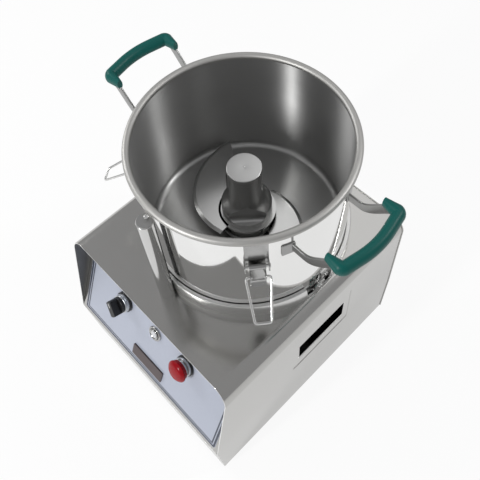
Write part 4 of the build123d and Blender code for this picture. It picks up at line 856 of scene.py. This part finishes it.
# interlock column: round bar with a flat towards the bowl, and a rod (radius, height, radius of the arc) in it
column = {"y": -141.5, "radius": 9.5, "flat": 8.0, "top": 440.0, "foot": 270.0, "stripWidth": 9.0,
          "strip": 0.5, "capShare": 0.96, "cap": 2.0, "rodY": 3.5,
          "rod": [(0, 420, 0), (2.6, 420, 0), (2.6, 447, 1), (0, 447, 0)]}


def makeColumn():
    # section: the arc (radius * sin(t), radius * cos(t)) from one end of the flat round to the other
    c = column
    half = math.acos(c["flat"] / c["radius"])
    t = np.linspace(2 * np.pi - half, half, 40)
    section = c["radius"] * np.stack([np.sin(t), np.cos(t)], -1)
    centre = bowlAxis + [0, c["y"], 0]
    ahead = np.array([0, 1.0, 0])
    length, middle = c["top"] - c["foot"], (c["top"] + c["foot"]) / 2
    post = slab("interlockPost", section, length, centre + up * c["foot"], across, ahead, finish["polished"],
                edge=0.5, smoothAngle=50)
    settle(post, "housing", "interlock_column", slot="polished_steel")
    # painted shade: a thin black strip on the flat towards the bowl stands for the column's dark side and its
    # reflection in the bowl's wall
    strip = slab("postFacePaintedShade", roundedBox(c["stripWidth"], length - 4, 1.0), c["strip"],
                 centre + [0, c["flat"] + c["strip"], middle], across, up, finish["black"], edge=0.15)
    settle(strip, "housing", slot="black_plastic")
    cap = slab("postCap", section * c["capShare"], c["cap"], centre + up * (c["top"] + 0.02), across, ahead,
               finish["strap"], edge=0.5, smoothAngle=50)
    settle(cap, "housing", "column_cap", slot="black_plastic")
    rod = lathe("interlockRod", arced(c["rod"], 4), finish["chrome"], centre + [0, c["rodY"], 0], up, 32)
    settle(rod, "interlock", "interlock_rod", slot="polished_steel")


makeColumn()
print("column made")


# camera, floor and light
view = {"azimuth": 49.866, "elevation": 53.524, "roll": -4.807, "place": (343.3, -294.1, 1029.9), "lens": 49.80,
        "sensor": 36, "shiftY": -0.177}
ground = {"half": 6, "tone": 0.86, "camera": 0.9, "glossy": 0.54, "through": 0.9}
room = {"colour": (0.62, 0.62, 0.63, 1), "strength": 0.66}
# each lamp: place in metres, width and height, watts; all of them face the aim
lamps = {"left": ((-1.6, -0.5, 1.3), (0.7, 0.9), 11), "back": ((0.92, 1.08, 1.5), (0.12, 0.4), 7),
         "top": ((-0.15, 0.85, 1.6), (1.3, 0.9), 2.4), "front": ((-0.07, -1.87, 1.25), (0.12, 0.5), 22)}
aim = Vector((0, 0, 0.3))


def makeCamera():
    # back points from the scene to the camera by azimuth and elevation; right and above turn about it by the
    # roll
    azimuth, elevation, roll = (math.radians(view[key]) for key in ("azimuth", "elevation", "roll"))
    level = math.cos(elevation)
    back = np.array([math.sin(azimuth) * level, -math.cos(azimuth) * level, math.sin(elevation)])
    right = np.array([math.cos(azimuth), math.sin(azimuth), 0.0])
    above = np.cross(back, right)
    c, s = math.cos(roll), math.sin(roll)
    right, above = c * right + s * above, -s * right + c * above
    data = bpy.data.cameras.new("camera")
    data.sensor_width = view["sensor"]
    data.lens = view["lens"]
    data.shift_y = view["shiftY"]
    camera = bpy.data.objects.new("camera", data)
    bpy.context.scene.collection.objects.link(camera)
    place = (np.array(view["place"]) + bowlAxis) * mm
    camera.matrix_world = Matrix([(right[i], above[i], back[i], place[i]) for i in range(3)] + [(0, 0, 0, 1)])
    bpy.context.scene.camera = camera


def makeFloor():
    # plain diffuse ground that takes the shadow, mixed with an even white for the rays that look at it
    q = ground
    p = Paint("paleFloor")
    ray = p.node("ShaderNodeLightPath", take="Is Camera Ray")
    glossy = Wire(p, ray.socket.node.outputs["Is Glossy Ray"])
    through = Wire(p, ray.socket.node.outputs["Is Transmission Ray"])
    seen = (ray * q["camera"] + glossy * q["glossy"] + through * q["through"]).clamped()
    plain = p.node("ShaderNodeBsdfDiffuse", {}, {"Color": (q["tone"],) * 3})
    bright = p.node("ShaderNodeEmission", {}, {"Color": (1, 1, 1), "Strength": 1.0})
    both = p.node("ShaderNodeMixShader", {}, {0: seen, 1: plain, 2: bright})
    p.tree.links.new(both.socket, p.output.inputs["Surface"])
    mesh = bpy.data.meshes.new("floor")
    mesh.from_pydata([(x * q["half"], y * q["half"], 0) for x, y in ((-1, -1), (1, -1), (1, 1), (-1, 1))], [],
                     [(0, 1, 2, 3)])
    floor = bpy.data.objects.new("floor", mesh)
    floor.data.materials.append(p.material)
    bpy.context.scene.collection.objects.link(floor)


def makeLight():
    # even room light, and a rectangular lamp at each place, turned to face the aim
    world = bpy.data.worlds.new("room")
    world.use_nodes = True
    background = world.node_tree.nodes["Background"].inputs
    background["Color"].default_value = room["colour"]
    background["Strength"].default_value = room["strength"]
    bpy.context.scene.world = world
    for name, (place, size, power) in lamps.items():
        data = bpy.data.lights.new(name + "Lamp", "AREA")
        data.shape = "RECTANGLE"
        data.size, data.size_y = size
        data.energy = power
        lamp = bpy.data.objects.new(name + "Lamp", data)
        bpy.context.scene.collection.objects.link(lamp)
        towards = (aim - Vector(place)).to_track_quat("-Z", "Y").to_matrix().to_4x4()
        lamp.matrix_world = Matrix.Translation(Vector(place)) @ towards


makeCamera()
makeFloor()
makeLight()
bpy.context.scene.view_settings.view_transform = "Standard"
print("camera, floor and light made")
